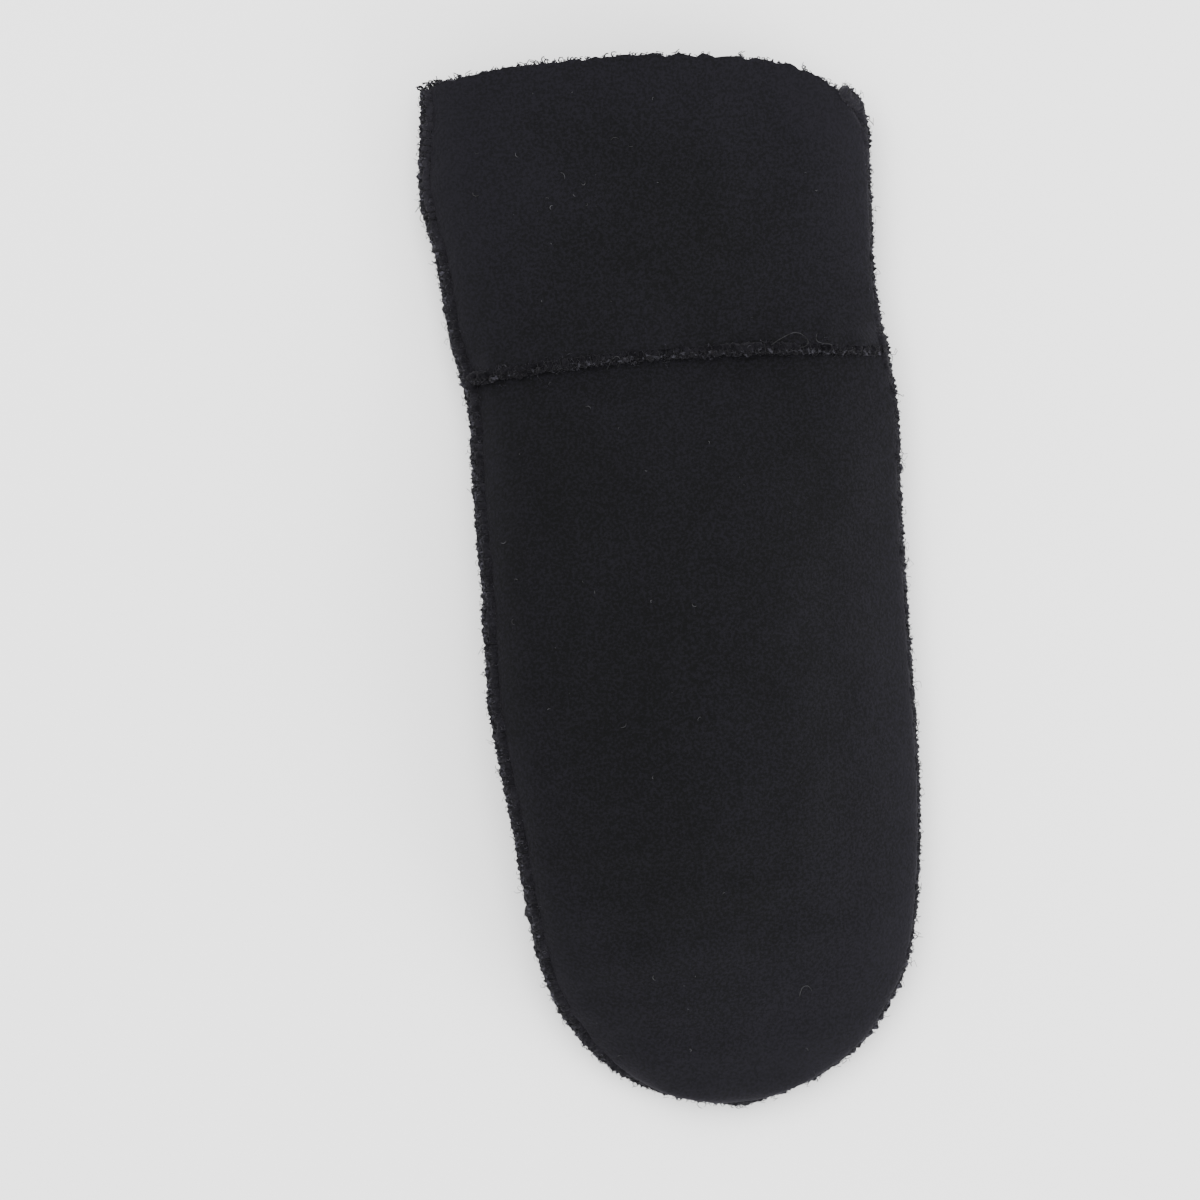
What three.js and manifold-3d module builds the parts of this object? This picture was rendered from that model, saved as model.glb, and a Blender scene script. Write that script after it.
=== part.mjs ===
// A shearling mitten for the left hand: suede outside, wool inside, raw-edged
// seams turned outwards. It lies on its palm with the thumb folded under it.
// Millimetres, +Z up, +Y towards the mouth of the cuff, +X to the little finger.

import * as THREE from "three";
import Module from "manifold-3d";

// Main sizes.
const HAND_LENGTH = 210.4; // cuff seam to fingertips
const CUFF_LENGTH = 86.5; // cuff seam to the highest point of the mouth
const HALF_WIDTH = 60; // from the long axis to the outside of a side seam
const THUMB_LENGTH = 129; // cuff seam to the tip of the thumb
const BODY_THICKNESS = 26; // back to palm, in the middle of the hand
const THUMB_THICKNESS = 16.5; // of the folded thumb, and so the palm's lift over it
const THUMB_HALF_WIDTH = 30; // of the folded thumb at its widest

// Walls, gaps and seams.
const SUEDE = 1.6;
const GAP = 0.3;
const WOOL = 3;
const THUMB_WOOL = 2.2; // trimmed shorter inside the thumb
const SEAM_PROUD = 3; // how far a side seam stands out from the panels
const SEAM_HALF_HEIGHT = 2.4;
const SEAM_INNER_SHARE = 0.45; // of the seam's half width that it overlaps the panels
const CROSS_SEAM_HALF_WIDTH = 1.9;
const CROSS_SEAM_HALF_HEIGHT = 1.8;
const CROSS_SEAM_SINK = 0.5;
const SEAM_RIDGE_LIFT = 3.2; // the palm's lift over its cuff seam
const SEAM_RIDGE_REACH = 9;
const SEAM_RIDGE_FADE = 0.02; // height below which the ridge counts as flat
const PALM_THUMB_GAP = 0.5;
const LINING_SETBACK = 1; // of the wool behind the cut edge of the cuff

// Shape of a section: height share (1 - |s|^SECTION_POWER)^SECTION_ROUND.
const SECTION_POWER = 2.6;
const SECTION_ROUND = 0.6;
const FLOOR_PRESS = 1.15; // how hard the underside is pressed flat
const LIFT_FOLLOW = 0.85; // share of the lift under the palm that the seams follow

const TIP_TAPER = 4; // how quickly walls and seams reach their full size from a tip
const TIP_POWER = 6; // how closely a tip's drawing-in keeps to the tip
const TIP_SHARE = 0.998; // the last section, just short of the point where a pouch closes

// Mesh divisions.
const BODY_COLUMNS = 12;
const CORE_COLUMNS = 10;
const THUMB_COLUMNS = 8;
const WELT_SIDES = 6;
const SIDE_SEAM_STEP = 11;
const CROSS_SEAM_STEP = 7;
const LINE_STEPS = 24; // of a cutting line, or of a seam before it is evened out
const SIDE_SEAM_STEPS = 90;
const HEEL_STEPS = 12;
const HALVINGS = 30;

// Sections of the hand. along: share of HAND_LENGTH from the cuff seam;
// index, little: shares of HALF_WIDTH to each side seam's outside;
// seam, top: shares of BODY_THICKNESS, seam height and height above the seam.
const HAND = [
  { along: 0.0, index: 0.993, little: 0.992, seam: 0.47, top: 0.46 },
  { along: 0.05, index: 0.983, little: 1.02, seam: 0.48, top: 0.52 },
  { along: 0.1, index: 0.99, little: 1.026, seam: 0.49, top: 0.55 },
  { along: 0.2, index: 0.998, little: 1.005, seam: 0.5, top: 0.56 },
  { along: 0.3, index: 0.994, little: 0.993, seam: 0.5, top: 0.55 },
  { along: 0.4, index: 1.01, little: 0.985, seam: 0.5, top: 0.54 },
  { along: 0.5, index: 0.993, little: 0.98, seam: 0.5, top: 0.54 },
  { along: 0.6, index: 0.954, little: 0.968, seam: 0.49, top: 0.54 },
  { along: 0.7, index: 0.926, little: 0.933, seam: 0.48, top: 0.53 },
  { along: 0.78, index: 0.89, little: 0.887, seam: 0.45, top: 0.5 },
  { along: 0.84, index: 0.833, little: 0.82, seam: 0.42, top: 0.46 },
  { along: 0.88, index: 0.758, little: 0.738, seam: 0.39, top: 0.42 },
  { along: 0.92, index: 0.655, little: 0.637, seam: 0.36, top: 0.36 },
  { along: 0.955, index: 0.508, little: 0.475, seam: 0.33, top: 0.28 },
  { along: 0.98, index: 0.317, little: 0.292, seam: 0.31, top: 0.19 },
  { along: 1.0, index: 0.0, little: 0.0, seam: 0.3, top: 0.0 },
];

// Sections of the cuff. along: share of CUFF_LENGTH from the cuff seam.
const CUFF = [
  { along: 0.0, index: 0.993, little: 0.992, seam: 0.47, top: 0.46 },
  { along: 0.1, index: 1.032, little: 0.982, seam: 0.49, top: 0.53 },
  { along: 0.25, index: 1.055, little: 0.973, seam: 0.52, top: 0.59 },
  { along: 0.4, index: 1.073, little: 0.985, seam: 0.53, top: 0.6 },
  { along: 0.6, index: 1.12, little: 0.998, seam: 0.53, top: 0.59 },
  { along: 0.72, index: 1.113, little: 0.998, seam: 0.52, top: 0.57 },
  { along: 0.85, index: 1.087, little: 1.0, seam: 0.51, top: 0.54 },
  { along: 1.1, index: 1.06, little: 1.0, seam: 0.5, top: 0.5 },
];

// Cut edge of the mouth. across: share of HALF_WIDTH from the axis;
// along: share of CUFF_LENGTH from the cuff seam.
const MOUTH = [
  { across: -1.3, along: 0.945 },
  { across: -1.0, along: 0.969 },
  { across: -0.71, along: 0.993 },
  { across: -0.4, along: 0.999 },
  { across: 0.0, along: 0.994 },
  { across: 0.41, along: 0.961 },
  { across: 0.62, along: 0.932 },
  { across: 0.75, along: 0.894 },
  { across: 0.88, along: 0.83 },
  { across: 0.95, along: 0.775 },
  { across: 1.0, along: 0.69 },
  { across: 1.3, along: 0.45 },
];

// Lift of the palm over the folded thumb, as a share of THUMB_THICKNESS: the
// product of a share by distance from the cuff seam (share of HAND_LENGTH,
// negative in the cuff) and a share by place across (share of HALF_WIDTH).
const LIFT_ALONG = [
  { along: -0.45, share: 0.0 },
  { along: -0.24, share: 0.0 },
  { along: -0.1, share: 0.08 },
  { along: 0.0, share: 0.17 },
  { along: 0.14, share: 0.6 },
  { along: 0.28, share: 0.92 },
  { along: 0.4, share: 1.0 },
  { along: 0.55, share: 1.0 },
  { along: 0.66, share: 0.82 },
  { along: 0.78, share: 0.42 },
  { along: 0.88, share: 0.1 },
  { along: 0.94, share: 0.0 },
  { along: 1.0, share: 0.0 },
];
const LIFT_ACROSS = [
  { across: -1.2, share: 0.86 },
  { across: -0.75, share: 1.0 },
  { across: 0.1, share: 1.0 },
  { across: 0.35, share: 0.86 },
  { across: 0.62, share: 0.42 },
  { across: 0.85, share: 0.08 },
  { across: 0.95, share: 0.0 },
  { across: 1.3, share: 0.0 },
];

// Sections of the thumb. along: share of THUMB_LENGTH from the cuff seam;
// near, far: distances of its two edges from the index edge of the hand, as
// shares of HALF_WIDTH; join: 1 where it still belongs to the hand, 0 where it
// hangs free; rise: its height above its own seam, share of THUMB_THICKNESS.
const THUMB = [
  { along: 0.0, near: 0.0, far: 0.6, join: 1.0, rise: 0.4 },
  { along: 0.15, near: 0.0, far: 0.77, join: 1.0, rise: 0.45 },
  { along: 0.3, near: 0.0, far: 0.92, join: 1.0, rise: 0.5 },
  { along: 0.43, near: 0.0, far: 1.06, join: 1.0, rise: 0.55 },
  { along: 0.51, near: 0.0, far: 1.14, join: 0.97, rise: 0.6 },
  { along: 0.57, near: 0.075, far: 1.2, join: 0.76, rise: 0.66 },
  { along: 0.63, near: 0.175, far: 1.25, join: 0.42, rise: 0.66 },
  { along: 0.69, near: 0.29, far: 1.29, join: 0.12, rise: 0.6 },
  { along: 0.75, near: 0.41, far: 1.32, join: 0.0, rise: 0.54 },
  { along: 0.81, near: 0.56, far: 1.335, join: 0.0, rise: 0.5 },
  { along: 0.87, near: 0.735, far: 1.33, join: 0.0, rise: 0.46 },
  { along: 0.92, near: 0.87, far: 1.315, join: 0.0, rise: 0.4 },
  { along: 0.96, near: 0.985, far: 1.285, join: 0.0, rise: 0.31 },
  { along: 0.985, near: 1.065, far: 1.245, join: 0.0, rise: 0.2 },
  { along: 1.0, near: 1.155, far: 1.155, join: 0.0, rise: 0.0 },
];
const THUMB_SEAM_HEIGHT = 0.48; // share of THUMB_THICKNESS, where it hangs free
const CROTCH_ALONG = 92; // of the crotch below the cuff seam, at the index edge
const CROTCH_SLOPE = 0.15; // the crotch seam's rise towards the palm's middle
const CROTCH_BLEND = 4; // length over which the thumb's upper side turns up into the hand
const CROTCH_RISE = 30; // height that it would reach there
const CROTCH_LAP = 1; // lap of the thumb's free part over the crotch line
const CROTCH_SEAM_START = 1.5; // from the index edge
const CROTCH_SEAM_END = 2; // from the thumb's edge
const HEEL_START = -3;
const HEEL_SEAM_START = -6;
const HEEL_END = -80;
const THUMB_SEAM_START = 0.52; // shares of THUMB_LENGTH: leaves the side seam
const THUMB_SEAM_TIP = 0.985; // rounds the tip
const THUMB_SEAM_END = 0.76; // ends at the crotch, on the hidden side
const THUMB_SEAM_PROUD = 0.6;

// Cuff seam: bow of the back's seam to the cuff and its slant, shares of HALF_WIDTH.
const CUFF_SEAM_BOW = 0.057;
const CUFF_SEAM_SLANT = -0.02;
const CUFF_SEAM_REACH = 0.998; // share of the section that a cuff seam crosses
const MOUTH_INDEX = -1.08; // places across of the side seam's two ends at the mouth
const MOUTH_LITTLE = 0.985;

// Soft scallops of a raised seam: share of its size, and turn from ring to ring.
const SCALLOPS = [
  { share: 0.07, turn: 2.4 },
  { share: 0.04, turn: 1.1 },
];
const SEAM_END_SHARE = 0.75;

// Reach of the cutting solids beyond the mitten.
const REACH = 90;
const LINE_REACH = 1.5; // share of HALF_WIDTH
const DEEP = 20;
const HIGH = 80;
const PAST_MOUTH = 140;
const PAST_TIP = -240;
const PAST_ZONE = 40;

// Colours, and finish.
const SUEDE_FINISH = { color: 0x1d1d20, roughness: 0.95, metalness: 0 };
const CUFF_FINISH = { color: 0x1e1e21, roughness: 0.95, metalness: 0 };
const WOOL_FINISH = { color: 0x131315, roughness: 1, metalness: 0 };
const SEAM_FINISH = { color: 0x18181a, roughness: 1, metalness: 0 };

const wasm = await Module();
wasm.setup();

// A smooth curve through a table's rows: cubic pieces, level past both ends.
function smooth(rows, key, column, at) {
  const last = rows.length - 1;
  if (at <= rows[0][key]) return rows[0][column];
  if (at >= rows[last][key]) return rows[last][column];
  let i = 0;
  while (rows[i + 1][key] < at) i += 1;
  const slope = (j) => {
    const a = rows[Math.max(j - 1, 0)];
    const b = rows[Math.min(j + 1, last)];
    return (b[column] - a[column]) / (b[key] - a[key]);
  };
  const span = rows[i + 1][key] - rows[i][key];
  const u = (at - rows[i][key]) / span;
  const a = rows[i][column];
  const b = rows[i + 1][column];
  const ma = slope(i) * span;
  const mb = slope(i + 1) * span;
  const u2 = u * u;
  const u3 = u2 * u;
  return a * (2 * u3 - 3 * u2 + 1) + ma * (u3 - 2 * u2 + u) + b * (3 * u2 - 2 * u3) + mb * (u3 - u2);
}

const step = (u) => {
  const c = Math.min(Math.max(u, 0), 1);
  return c * c * (3 - 2 * c);
};

// Equal steps from one value to another.
const spread = (from, to, count) => (
  Array.from({ length: count + 1 }, (_, i) => from + (to - from) * i / count)
);

// Height share of a section at s, from -1 (index edge) to 1.
const bulge = (s) => Math.pow(Math.max(1 - Math.pow(Math.abs(s), SECTION_POWER), 0), SECTION_ROUND);

// One column of the hand's and the cuff's sections at y.
const section = (column, y) => (y <= 0
  ? smooth(HAND, "along", column, -y / HAND_LENGTH)
  : smooth(CUFF, "along", column, y / CUFF_LENGTH));

// What the palm rests on: the folded thumb, its own cuff seam, or the floor.
function lift(x, y) {
  const overThumb = smooth(LIFT_ALONG, "along", "share", -y / HAND_LENGTH)
    * smooth(LIFT_ACROSS, "across", "share", x / HALF_WIDTH);
  const ridge = SEAM_RIDGE_LIFT * Math.exp(-Math.pow(y / SEAM_RIDGE_REACH, 2)) - SEAM_RIDGE_FADE;
  return Math.max(THUMB_THICKNESS * Math.max(overThumb, 0), ridge, 0);
}

// Height of the side seams' surface, which parts the back from the palm.
const seamHeight = (x, y) => BODY_THICKNESS * section("seam", y) + LIFT_FOLLOW * lift(x, y);

// Edges of the panels, inside the seams.
const fromTip = (share) => Math.min(1, share * TIP_TAPER);
const indexEdge = (y) => SEAM_PROUD * fromTip(section("index", y)) - HALF_WIDTH * section("index", y);
const littleEdge = (y) => HALF_WIDTH * section("little", y) - SEAM_PROUD * fromTip(section("little", y));

const sizeShare = (size, inset) => (size - inset) / size;

// A section's place when the tip of its pouch is drawn in by the given distance.
const drawnIn = (y, length, inset) => y + inset * Math.pow(Math.max(-y, 0) / length, TIP_POWER);

// One point of the body at share s across the section at y, inset from its outside.
function bodyPoint(s, y, inset, below) {
  const middle = (indexEdge(y) + littleEdge(y)) / 2;
  const half = (littleEdge(y) - indexEdge(y)) / 2 * sizeShare(HALF_WIDTH - SEAM_PROUD, inset);
  const x = middle + half * s;
  const place = drawnIn(y, HAND_LENGTH, SEAM_PROUD + inset);
  const seam = seamHeight(x, place);
  const thin = sizeShare(BODY_THICKNESS / 2, inset);
  if (below) {
    const hang = FLOOR_PRESS * BODY_THICKNESS * section("seam", y) * fromTip(section("top", y));
    return [x, place, Math.max(lift(x, place) + inset, seam - hang * thin * bulge(s))];
  }
  return [x, place, seam + BODY_THICKNESS * section("top", y) * thin * bulge(s)];
}

const thumbColumn = (column, y) => smooth(THUMB, "along", column, -y / THUMB_LENGTH);

// Height of the thumb's own seam surface.
function thumbSeamHeight(x, y) {
  const join = Math.min(Math.max(thumbColumn("join", y), 0), 1);
  return join * seamHeight(x, y) + (1 - join) * THUMB_SEAM_HEIGHT * THUMB_THICKNESS;
}

const thumbNear = (y) => indexEdge(y) + HALF_WIDTH * thumbColumn("near", y);
const thumbFar = (y) => indexEdge(y) + HALF_WIDTH * thumbColumn("far", y);
const crotchAt = (x) => CROTCH_SLOPE * (x + HALF_WIDTH) - CROTCH_ALONG;

// One point of the thumb, as bodyPoint.
function thumbPoint(s, y, inset, below) {
  const middle = (thumbNear(y) + thumbFar(y)) / 2;
  const half = (thumbFar(y) - thumbNear(y)) / 2 * sizeShare(THUMB_HALF_WIDTH, inset);
  const x = middle + half * s;
  const place = drawnIn(y, THUMB_LENGTH, inset);
  const seam = thumbSeamHeight(x, place);
  const thin = sizeShare(THUMB_THICKNESS / 2, inset);
  const hang = FLOOR_PRESS * seam * fromTip(thumbColumn("rise", y));
  if (below) return [x, place, Math.max(inset, seam - hang * thin * bulge(s))];
  const free = step((crotchAt(x) + CROTCH_BLEND - place) / CROTCH_BLEND);
  const cover = lift(x, place) - PALM_THUMB_GAP - inset + CROTCH_RISE * (1 - free);
  return [x, place, Math.min(cover, seam + THUMB_THICKNESS * thumbColumn("rise", y) * thin * bulge(s))];
}

// A manifold solid from points and triangles, turned to face outwards.
function solid(points, triangles) {
  let volume = 0;
  for (const [a, b, c] of triangles) {
    const cross = new THREE.Vector3(...points[b]).cross(new THREE.Vector3(...points[c]));
    volume += new THREE.Vector3(...points[a]).dot(cross);
  }
  const faces = volume < 0 ? triangles.map(([a, b, c]) => [a, c, b]) : triangles;
  return new wasm.Manifold(new wasm.Mesh({
    numProp: 3,
    vertProperties: new Float32Array(points.flat()),
    triVerts: new Uint32Array(faces.flat()),
  }));
}

// Skin over rings of equal length, closed by a fan at each end.
function loft(rings) {
  const count = rings[0].length;
  const points = rings.flat();
  const triangles = [];
  for (let j = 0; j + 1 < rings.length; j += 1) {
    for (let i = 0; i < count; i += 1) {
      const a = j * count + i;
      const b = j * count + (i + 1) % count;
      triangles.push([a, b, b + count], [a, b + count, a + count]);
    }
  }
  const close = (start, flip) => {
    const centre = [0, 1, 2].map((k) => {
      let sum = 0;
      for (let i = 0; i < count; i += 1) sum += points[start + i][k];
      return sum / count;
    });
    points.push(centre);
    for (let i = 0; i < count; i += 1) {
      const a = start + i;
      const b = start + (i + 1) % count;
      triangles.push(flip ? [b, a, points.length - 1] : [a, b, points.length - 1]);
    }
  };
  close(0, true);
  close((rings.length - 1) * count, false);
  return solid(points, triangles);
}

// A closed pouch of the given sections; its last section is the tip.
function pouch(point, stations, columns, inset) {
  const rings = stations.map((y) => {
    const over = spread(0, Math.PI, columns).map((turn) => point(-Math.cos(turn), y, inset, false));
    const under = spread(0, Math.PI, columns).map((turn) => point(-Math.cos(turn), y, inset, true));
    return [...over, ...under.slice(1, -1).reverse()];
  });
  return loft(rings);
}

const handStations = HAND.map((row) => -Math.min(row.along, TIP_SHARE) * HAND_LENGTH);
const cuffStations = CUFF.filter((row) => row.along > 0).map((row) => row.along * CUFF_LENGTH).reverse();
const bodyStations = [...cuffStations, ...handStations];
const coreStations = bodyStations.filter((y, i) => i % 2 === 0 || y < -TIP_TAPER * HAND_LENGTH / 5);
const thumbStations = THUMB.map((row) => -Math.min(row.along, TIP_SHARE) * THUMB_LENGTH);

const body = (inset) => pouch(bodyPoint, bodyStations, BODY_COLUMNS, inset);
const thumb = (inset) => pouch(thumbPoint, thumbStations, THUMB_COLUMNS, inset);

// Everything under a height surface, wider than the mitten.
const blockRows = [PAST_MOUTH, ...bodyStations, PAST_TIP];
function blockUnder(height) {
  const across = spread(0, Math.PI, BODY_COLUMNS).map((turn) => -REACH * Math.cos(turn));
  const rings = blockRows.map((y) => [
    ...across.map((x) => [x, y, height(x, y)]),
    ...across.map((x) => [x, y, -DEEP]).reverse(),
  ]);
  return loft(rings);
}

// An upright wall-to-wall solid between two lines in plan, of equal length.
function between(lineA, lineB) {
  return loft(lineA.map(([ax, ay], i) => {
    const [bx, by] = lineB[i];
    return [[ax, ay, -DEEP], [bx, by, -DEEP], [bx, by, HIGH], [ax, ay, HIGH]];
  }));
}

// Everything past the mouth's cut edge, set back by the given distance.
function pastMouth(setback) {
  const edge = spread(-LINE_REACH, LINE_REACH, LINE_STEPS).map((s) => [
    HALF_WIDTH * s,
    CUFF_LENGTH * smooth(MOUTH, "across", "along", s) - setback,
  ]);
  return between(edge, edge.map(([x]) => [x, PAST_MOUTH]));
}

// Everything on the cuff's side of a cross seam, moved by the given distance.
function cuffSide(bow, moved) {
  const across = spread(-LINE_REACH, LINE_REACH, LINE_STEPS).map((s) => HALF_WIDTH * s);
  const edge = across.map((x) => [x, cuffSeamAt(x, bow) + moved]);
  return between(edge, edge.map(([x]) => [x, PAST_MOUTH]));
}
function cuffSeamAt(x, bow) {
  const s = x / HALF_WIDTH;
  return HALF_WIDTH * (bow * Math.max(1 - s * s, 0) + CUFF_SEAM_SLANT * s);
}

// Underside of the body and of the thumb at x, y.
function underside(point, near, far, x, y) {
  const s = (2 * x - near(y) - far(y)) / (far(y) - near(y));
  return point(Math.min(Math.max(s, -1), 1), y, 0, true)[2];
}

// Where the thumb's underside meets the palm's: the seam at the heel of the hand.
function heelSeamAt(y) {
  let inside = (thumbNear(y) + thumbFar(y)) / 2;
  let outside = thumbFar(y);
  for (let k = 0; k < HALVINGS; k += 1) {
    const x = (inside + outside) / 2;
    const thumbLow = underside(thumbPoint, thumbNear, thumbFar, x, y);
    const palmLow = underside(bodyPoint, indexEdge, littleEdge, x, y);
    if (thumbLow < palmLow) inside = x;
    else outside = x;
  }
  return inside;
}
const heelLine = spread(HEEL_START, HEEL_END, HEEL_STEPS).map((y) => [heelSeamAt(y), y]);

// The part of the underside that belongs to the thumb, grown by the given distance.
function thumbZone(grow) {
  const [lastX] = heelLine[heelLine.length - 1];
  const seam = [
    [heelLine[0][0] + grow, PAST_ZONE],
    ...heelLine.map(([x, y]) => [x + grow, y]),
    [lastX + grow, crotchAt(lastX) - grow],
  ];
  const far = seam.map(([, y]) => [-REACH, y]);
  far[far.length - 1] = [-REACH, crotchAt(-REACH) - grow];
  return between(seam, far);
}
const crotchLine = [-REACH, REACH].map((x) => [x, crotchAt(x)]);
const pastCrotch = (early) => between(
  crotchLine.map(([x, y]) => [x, y + early]),
  crotchLine.map(([x]) => [x, PAST_TIP]),
);

// A raised seam: an oval carried along a path of {at, out, up} with soft scallops.
function welt(path, halfWidth, halfHeight, grow) {
  const rings = path.map(({ at, out, up }, j) => {
    const scallop = SCALLOPS.reduce((sum, { share, turn }) => sum + share * Math.sin(j * turn), 1);
    const ends = j === 0 || j === path.length - 1 ? SEAM_END_SHARE : 1;
    return Array.from({ length: WELT_SIDES }, (_, i) => {
      const angle = 2 * Math.PI * i / WELT_SIDES;
      const w = (halfWidth * scallop * ends + grow) * Math.cos(angle);
      const h = (halfHeight * scallop * ends + grow) * Math.sin(angle);
      return [0, 1, 2].map((k) => at[k] + out[k] * w + up[k] * h);
    });
  });
  return loft(rings);
}

// Adds the outward direction to a path of points in plan, for a level seam.
function levelPath(points) {
  return points.map((at, j) => {
    const a = points[Math.max(j - 1, 0)];
    const b = points[Math.min(j + 1, points.length - 1)];
    const along = new THREE.Vector3(b[0] - a[0], b[1] - a[1], b[2] - a[2]).normalize();
    const out = new THREE.Vector3(along.y, -along.x, 0).normalize();
    const up = new THREE.Vector3().crossVectors(out, along).normalize();
    if (up.z < 0) up.negate();
    return { at, out: out.toArray(), up: up.toArray() };
  });
}

// Even steps along a path of points.
function even(points, spacing) {
  const curve = new THREE.CatmullRomCurve3(points.map((p) => new THREE.Vector3(...p)), false, "centripetal");
  const count = Math.max(3, Math.round(curve.getLength() / spacing));
  return curve.getSpacedPoints(count).map((p) => p.toArray());
}

const inShare = SEAM_PROUD * SEAM_INNER_SHARE;
const seamHalfWidth = (SEAM_PROUD + inShare) / 2;
const seamOffset = (SEAM_PROUD - inShare) / 2;

// The side seam runs from the mouth down the index side, round the tip and back.
function sideSeamPath() {
  const tip = -HAND_LENGTH * TIP_SHARE;
  const side = (s, mouthAcross) => {
    const mouth = CUFF_LENGTH * smooth(MOUTH, "across", "along", mouthAcross);
    const turns = spread(0, Math.PI / 2, SIDE_SEAM_STEPS).slice(0, -1);
    return turns.map((turn) => bodyPoint(s, mouth + (tip - mouth) * Math.sin(turn), -seamOffset, false));
  };
  return levelPath(even([...side(-1, MOUTH_INDEX), ...side(1, MOUTH_LITTLE).reverse()], SIDE_SEAM_STEP));
}

// A cross seam of the cuff, over the back or under the palm.
function cuffSeamPath(bow, below) {
  const points = spread(-1, 1, LINE_STEPS).map((u) => {
    const s = Math.sin(u * Math.PI / 2) * CUFF_SEAM_REACH;
    const guess = bodyPoint(s, 0, 0, below)[0];
    const y = cuffSeamAt(guess, bow);
    const [x, , z] = bodyPoint(s, y, 0, below);
    return [x, y, z];
  });
  return ridgePath(even(points, CROSS_SEAM_STEP), below ? -1 : 1);
}

// Adds the directions of a seam that stands off a surface, above (1) or below (-1).
function ridgePath(points, sign) {
  return points.map((at, j) => {
    const a = points[Math.max(j - 1, 0)];
    const b = points[Math.min(j + 1, points.length - 1)];
    const along = new THREE.Vector3(b[0] - a[0], b[1] - a[1], b[2] - a[2]).normalize();
    const out = new THREE.Vector3().crossVectors(along, new THREE.Vector3(0, 0, 1)).normalize();
    const up = new THREE.Vector3().crossVectors(out, along).normalize();
    if (up.z * sign < 0) up.negate();
    const rise = CROSS_SEAM_HALF_HEIGHT - CROSS_SEAM_SINK;
    return { at: at.map((v, k) => v + up.toArray()[k] * rise), out: out.toArray(), up: up.toArray() };
  });
}

// The seam between the thumb and the palm, along the heel of the hand.
function heelSeamPath() {
  const shown = heelLine.filter(([, y]) => y < HEEL_SEAM_START);
  const points = shown.map(([x, y]) => [x, y, underside(bodyPoint, indexEdge, littleEdge, x, y)]);
  return ridgePath(even(points, CROSS_SEAM_STEP), -1);
}

// The short seam across the crotch, as far as it shows beside the folded thumb.
function crotchSeamPath() {
  const start = indexEdge(-CROTCH_ALONG) + CROTCH_SEAM_START;
  const end = thumbNear(-CROTCH_ALONG) - CROTCH_SEAM_END;
  const points = spread(start, end, LINE_STEPS).map((x) => {
    const y = crotchAt(x);
    return [x, y, underside(bodyPoint, indexEdge, littleEdge, x, y)];
  });
  return ridgePath(even(points, CROSS_SEAM_STEP / 2), -1);
}

// The thumb's free edge: from the side seam round its tip to the crotch.
function thumbSeamPath() {
  const edge = (s, share) => {
    const [x, place] = thumbPoint(s, -share * THUMB_LENGTH, 0, false);
    return [x + s * THUMB_SEAM_PROUD, place, thumbSeamHeight(x, place)];
  };
  const middle = (thumbNear(-THUMB_LENGTH) + thumbFar(-THUMB_LENGTH)) / 2;
  const points = [
    ...spread(THUMB_SEAM_START, THUMB_SEAM_TIP, LINE_STEPS).map((share) => edge(-1, share)),
    [middle, -THUMB_LENGTH - THUMB_SEAM_PROUD, THUMB_SEAM_HEIGHT * THUMB_THICKNESS],
    ...spread(THUMB_SEAM_TIP, THUMB_SEAM_END, HEEL_STEPS).map((share) => edge(1, share)),
  ];
  return levelPath(even(points, CROSS_SEAM_STEP));
}

// Solids.
const outside = body(0).add(thumb(0));
const hollow = body(SUEDE).add(thumb(SUEDE));
const shell = outside.subtract(hollow).subtract(pastMouth(0));
const belowSeam = blockUnder(seamHeight);
const upper = shell.subtract(belowSeam.translate([0, 0, GAP / 2]));
const lower = shell.intersect(belowSeam.translate([0, 0, -GAP / 2]));
const palmBow = 0;

const backPanel = upper.subtract(cuffSide(CUFF_SEAM_BOW, -GAP / 2));
const cuffBack = upper.intersect(cuffSide(CUFF_SEAM_BOW, GAP / 2));
const lowerHand = lower.subtract(cuffSide(palmBow, -GAP / 2));
const cuffPalm = lower.intersect(cuffSide(palmBow, GAP / 2));
const freeThumb = thumb(-GAP / 3).intersect(pastCrotch(CROTCH_LAP));
const freeThumbRoom = thumb(-GAP - PALM_THUMB_GAP / 4).intersect(pastCrotch(CROTCH_LAP + GAP));
const palmPanel = lowerHand.subtract(thumbZone(GAP / 2)).subtract(freeThumbRoom);
const thumbShell = lowerHand.intersect(thumbZone(-GAP / 2).add(freeThumb));
const underThumbSeam = blockUnder(thumbSeamHeight);
const thumbInner = thumbShell.subtract(underThumbSeam.translate([0, 0, GAP / 2]));
const thumbOuter = thumbShell.intersect(underThumbSeam.translate([0, 0, -GAP / 2]));

const liningOutside = body(SUEDE + GAP).add(thumb(SUEDE + GAP));
const liningHollow = pouch(bodyPoint, coreStations, CORE_COLUMNS, SUEDE + GAP + WOOL)
  .add(thumb(SUEDE + GAP + THUMB_WOOL));
const lining = liningOutside.intersect(hollow).subtract(liningHollow).subtract(pastMouth(LINING_SETBACK));

const clearOf = body(-GAP).add(thumb(-GAP));
const sidePath = sideSeamPath();
const sideSeam = welt(sidePath, seamHalfWidth, SEAM_HALF_HEIGHT, 0).subtract(clearOf).subtract(pastMouth(0));
const sideSeamRoom = welt(sidePath, seamHalfWidth, SEAM_HALF_HEIGHT, GAP);
const crossSeam = (path) => welt(path, CROSS_SEAM_HALF_WIDTH, CROSS_SEAM_HALF_HEIGHT, 0)
  .subtract(clearOf).subtract(sideSeamRoom);
const cuffSeamBack = crossSeam(cuffSeamPath(CUFF_SEAM_BOW, false));
const cuffSeamPalm = crossSeam(cuffSeamPath(palmBow, true));
const thumbPath = thumbSeamPath();
const thumbSeam = crossSeam(thumbPath);
const thumbSeamRoom = welt(thumbPath, CROSS_SEAM_HALF_WIDTH, CROSS_SEAM_HALF_HEIGHT, GAP);
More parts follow.
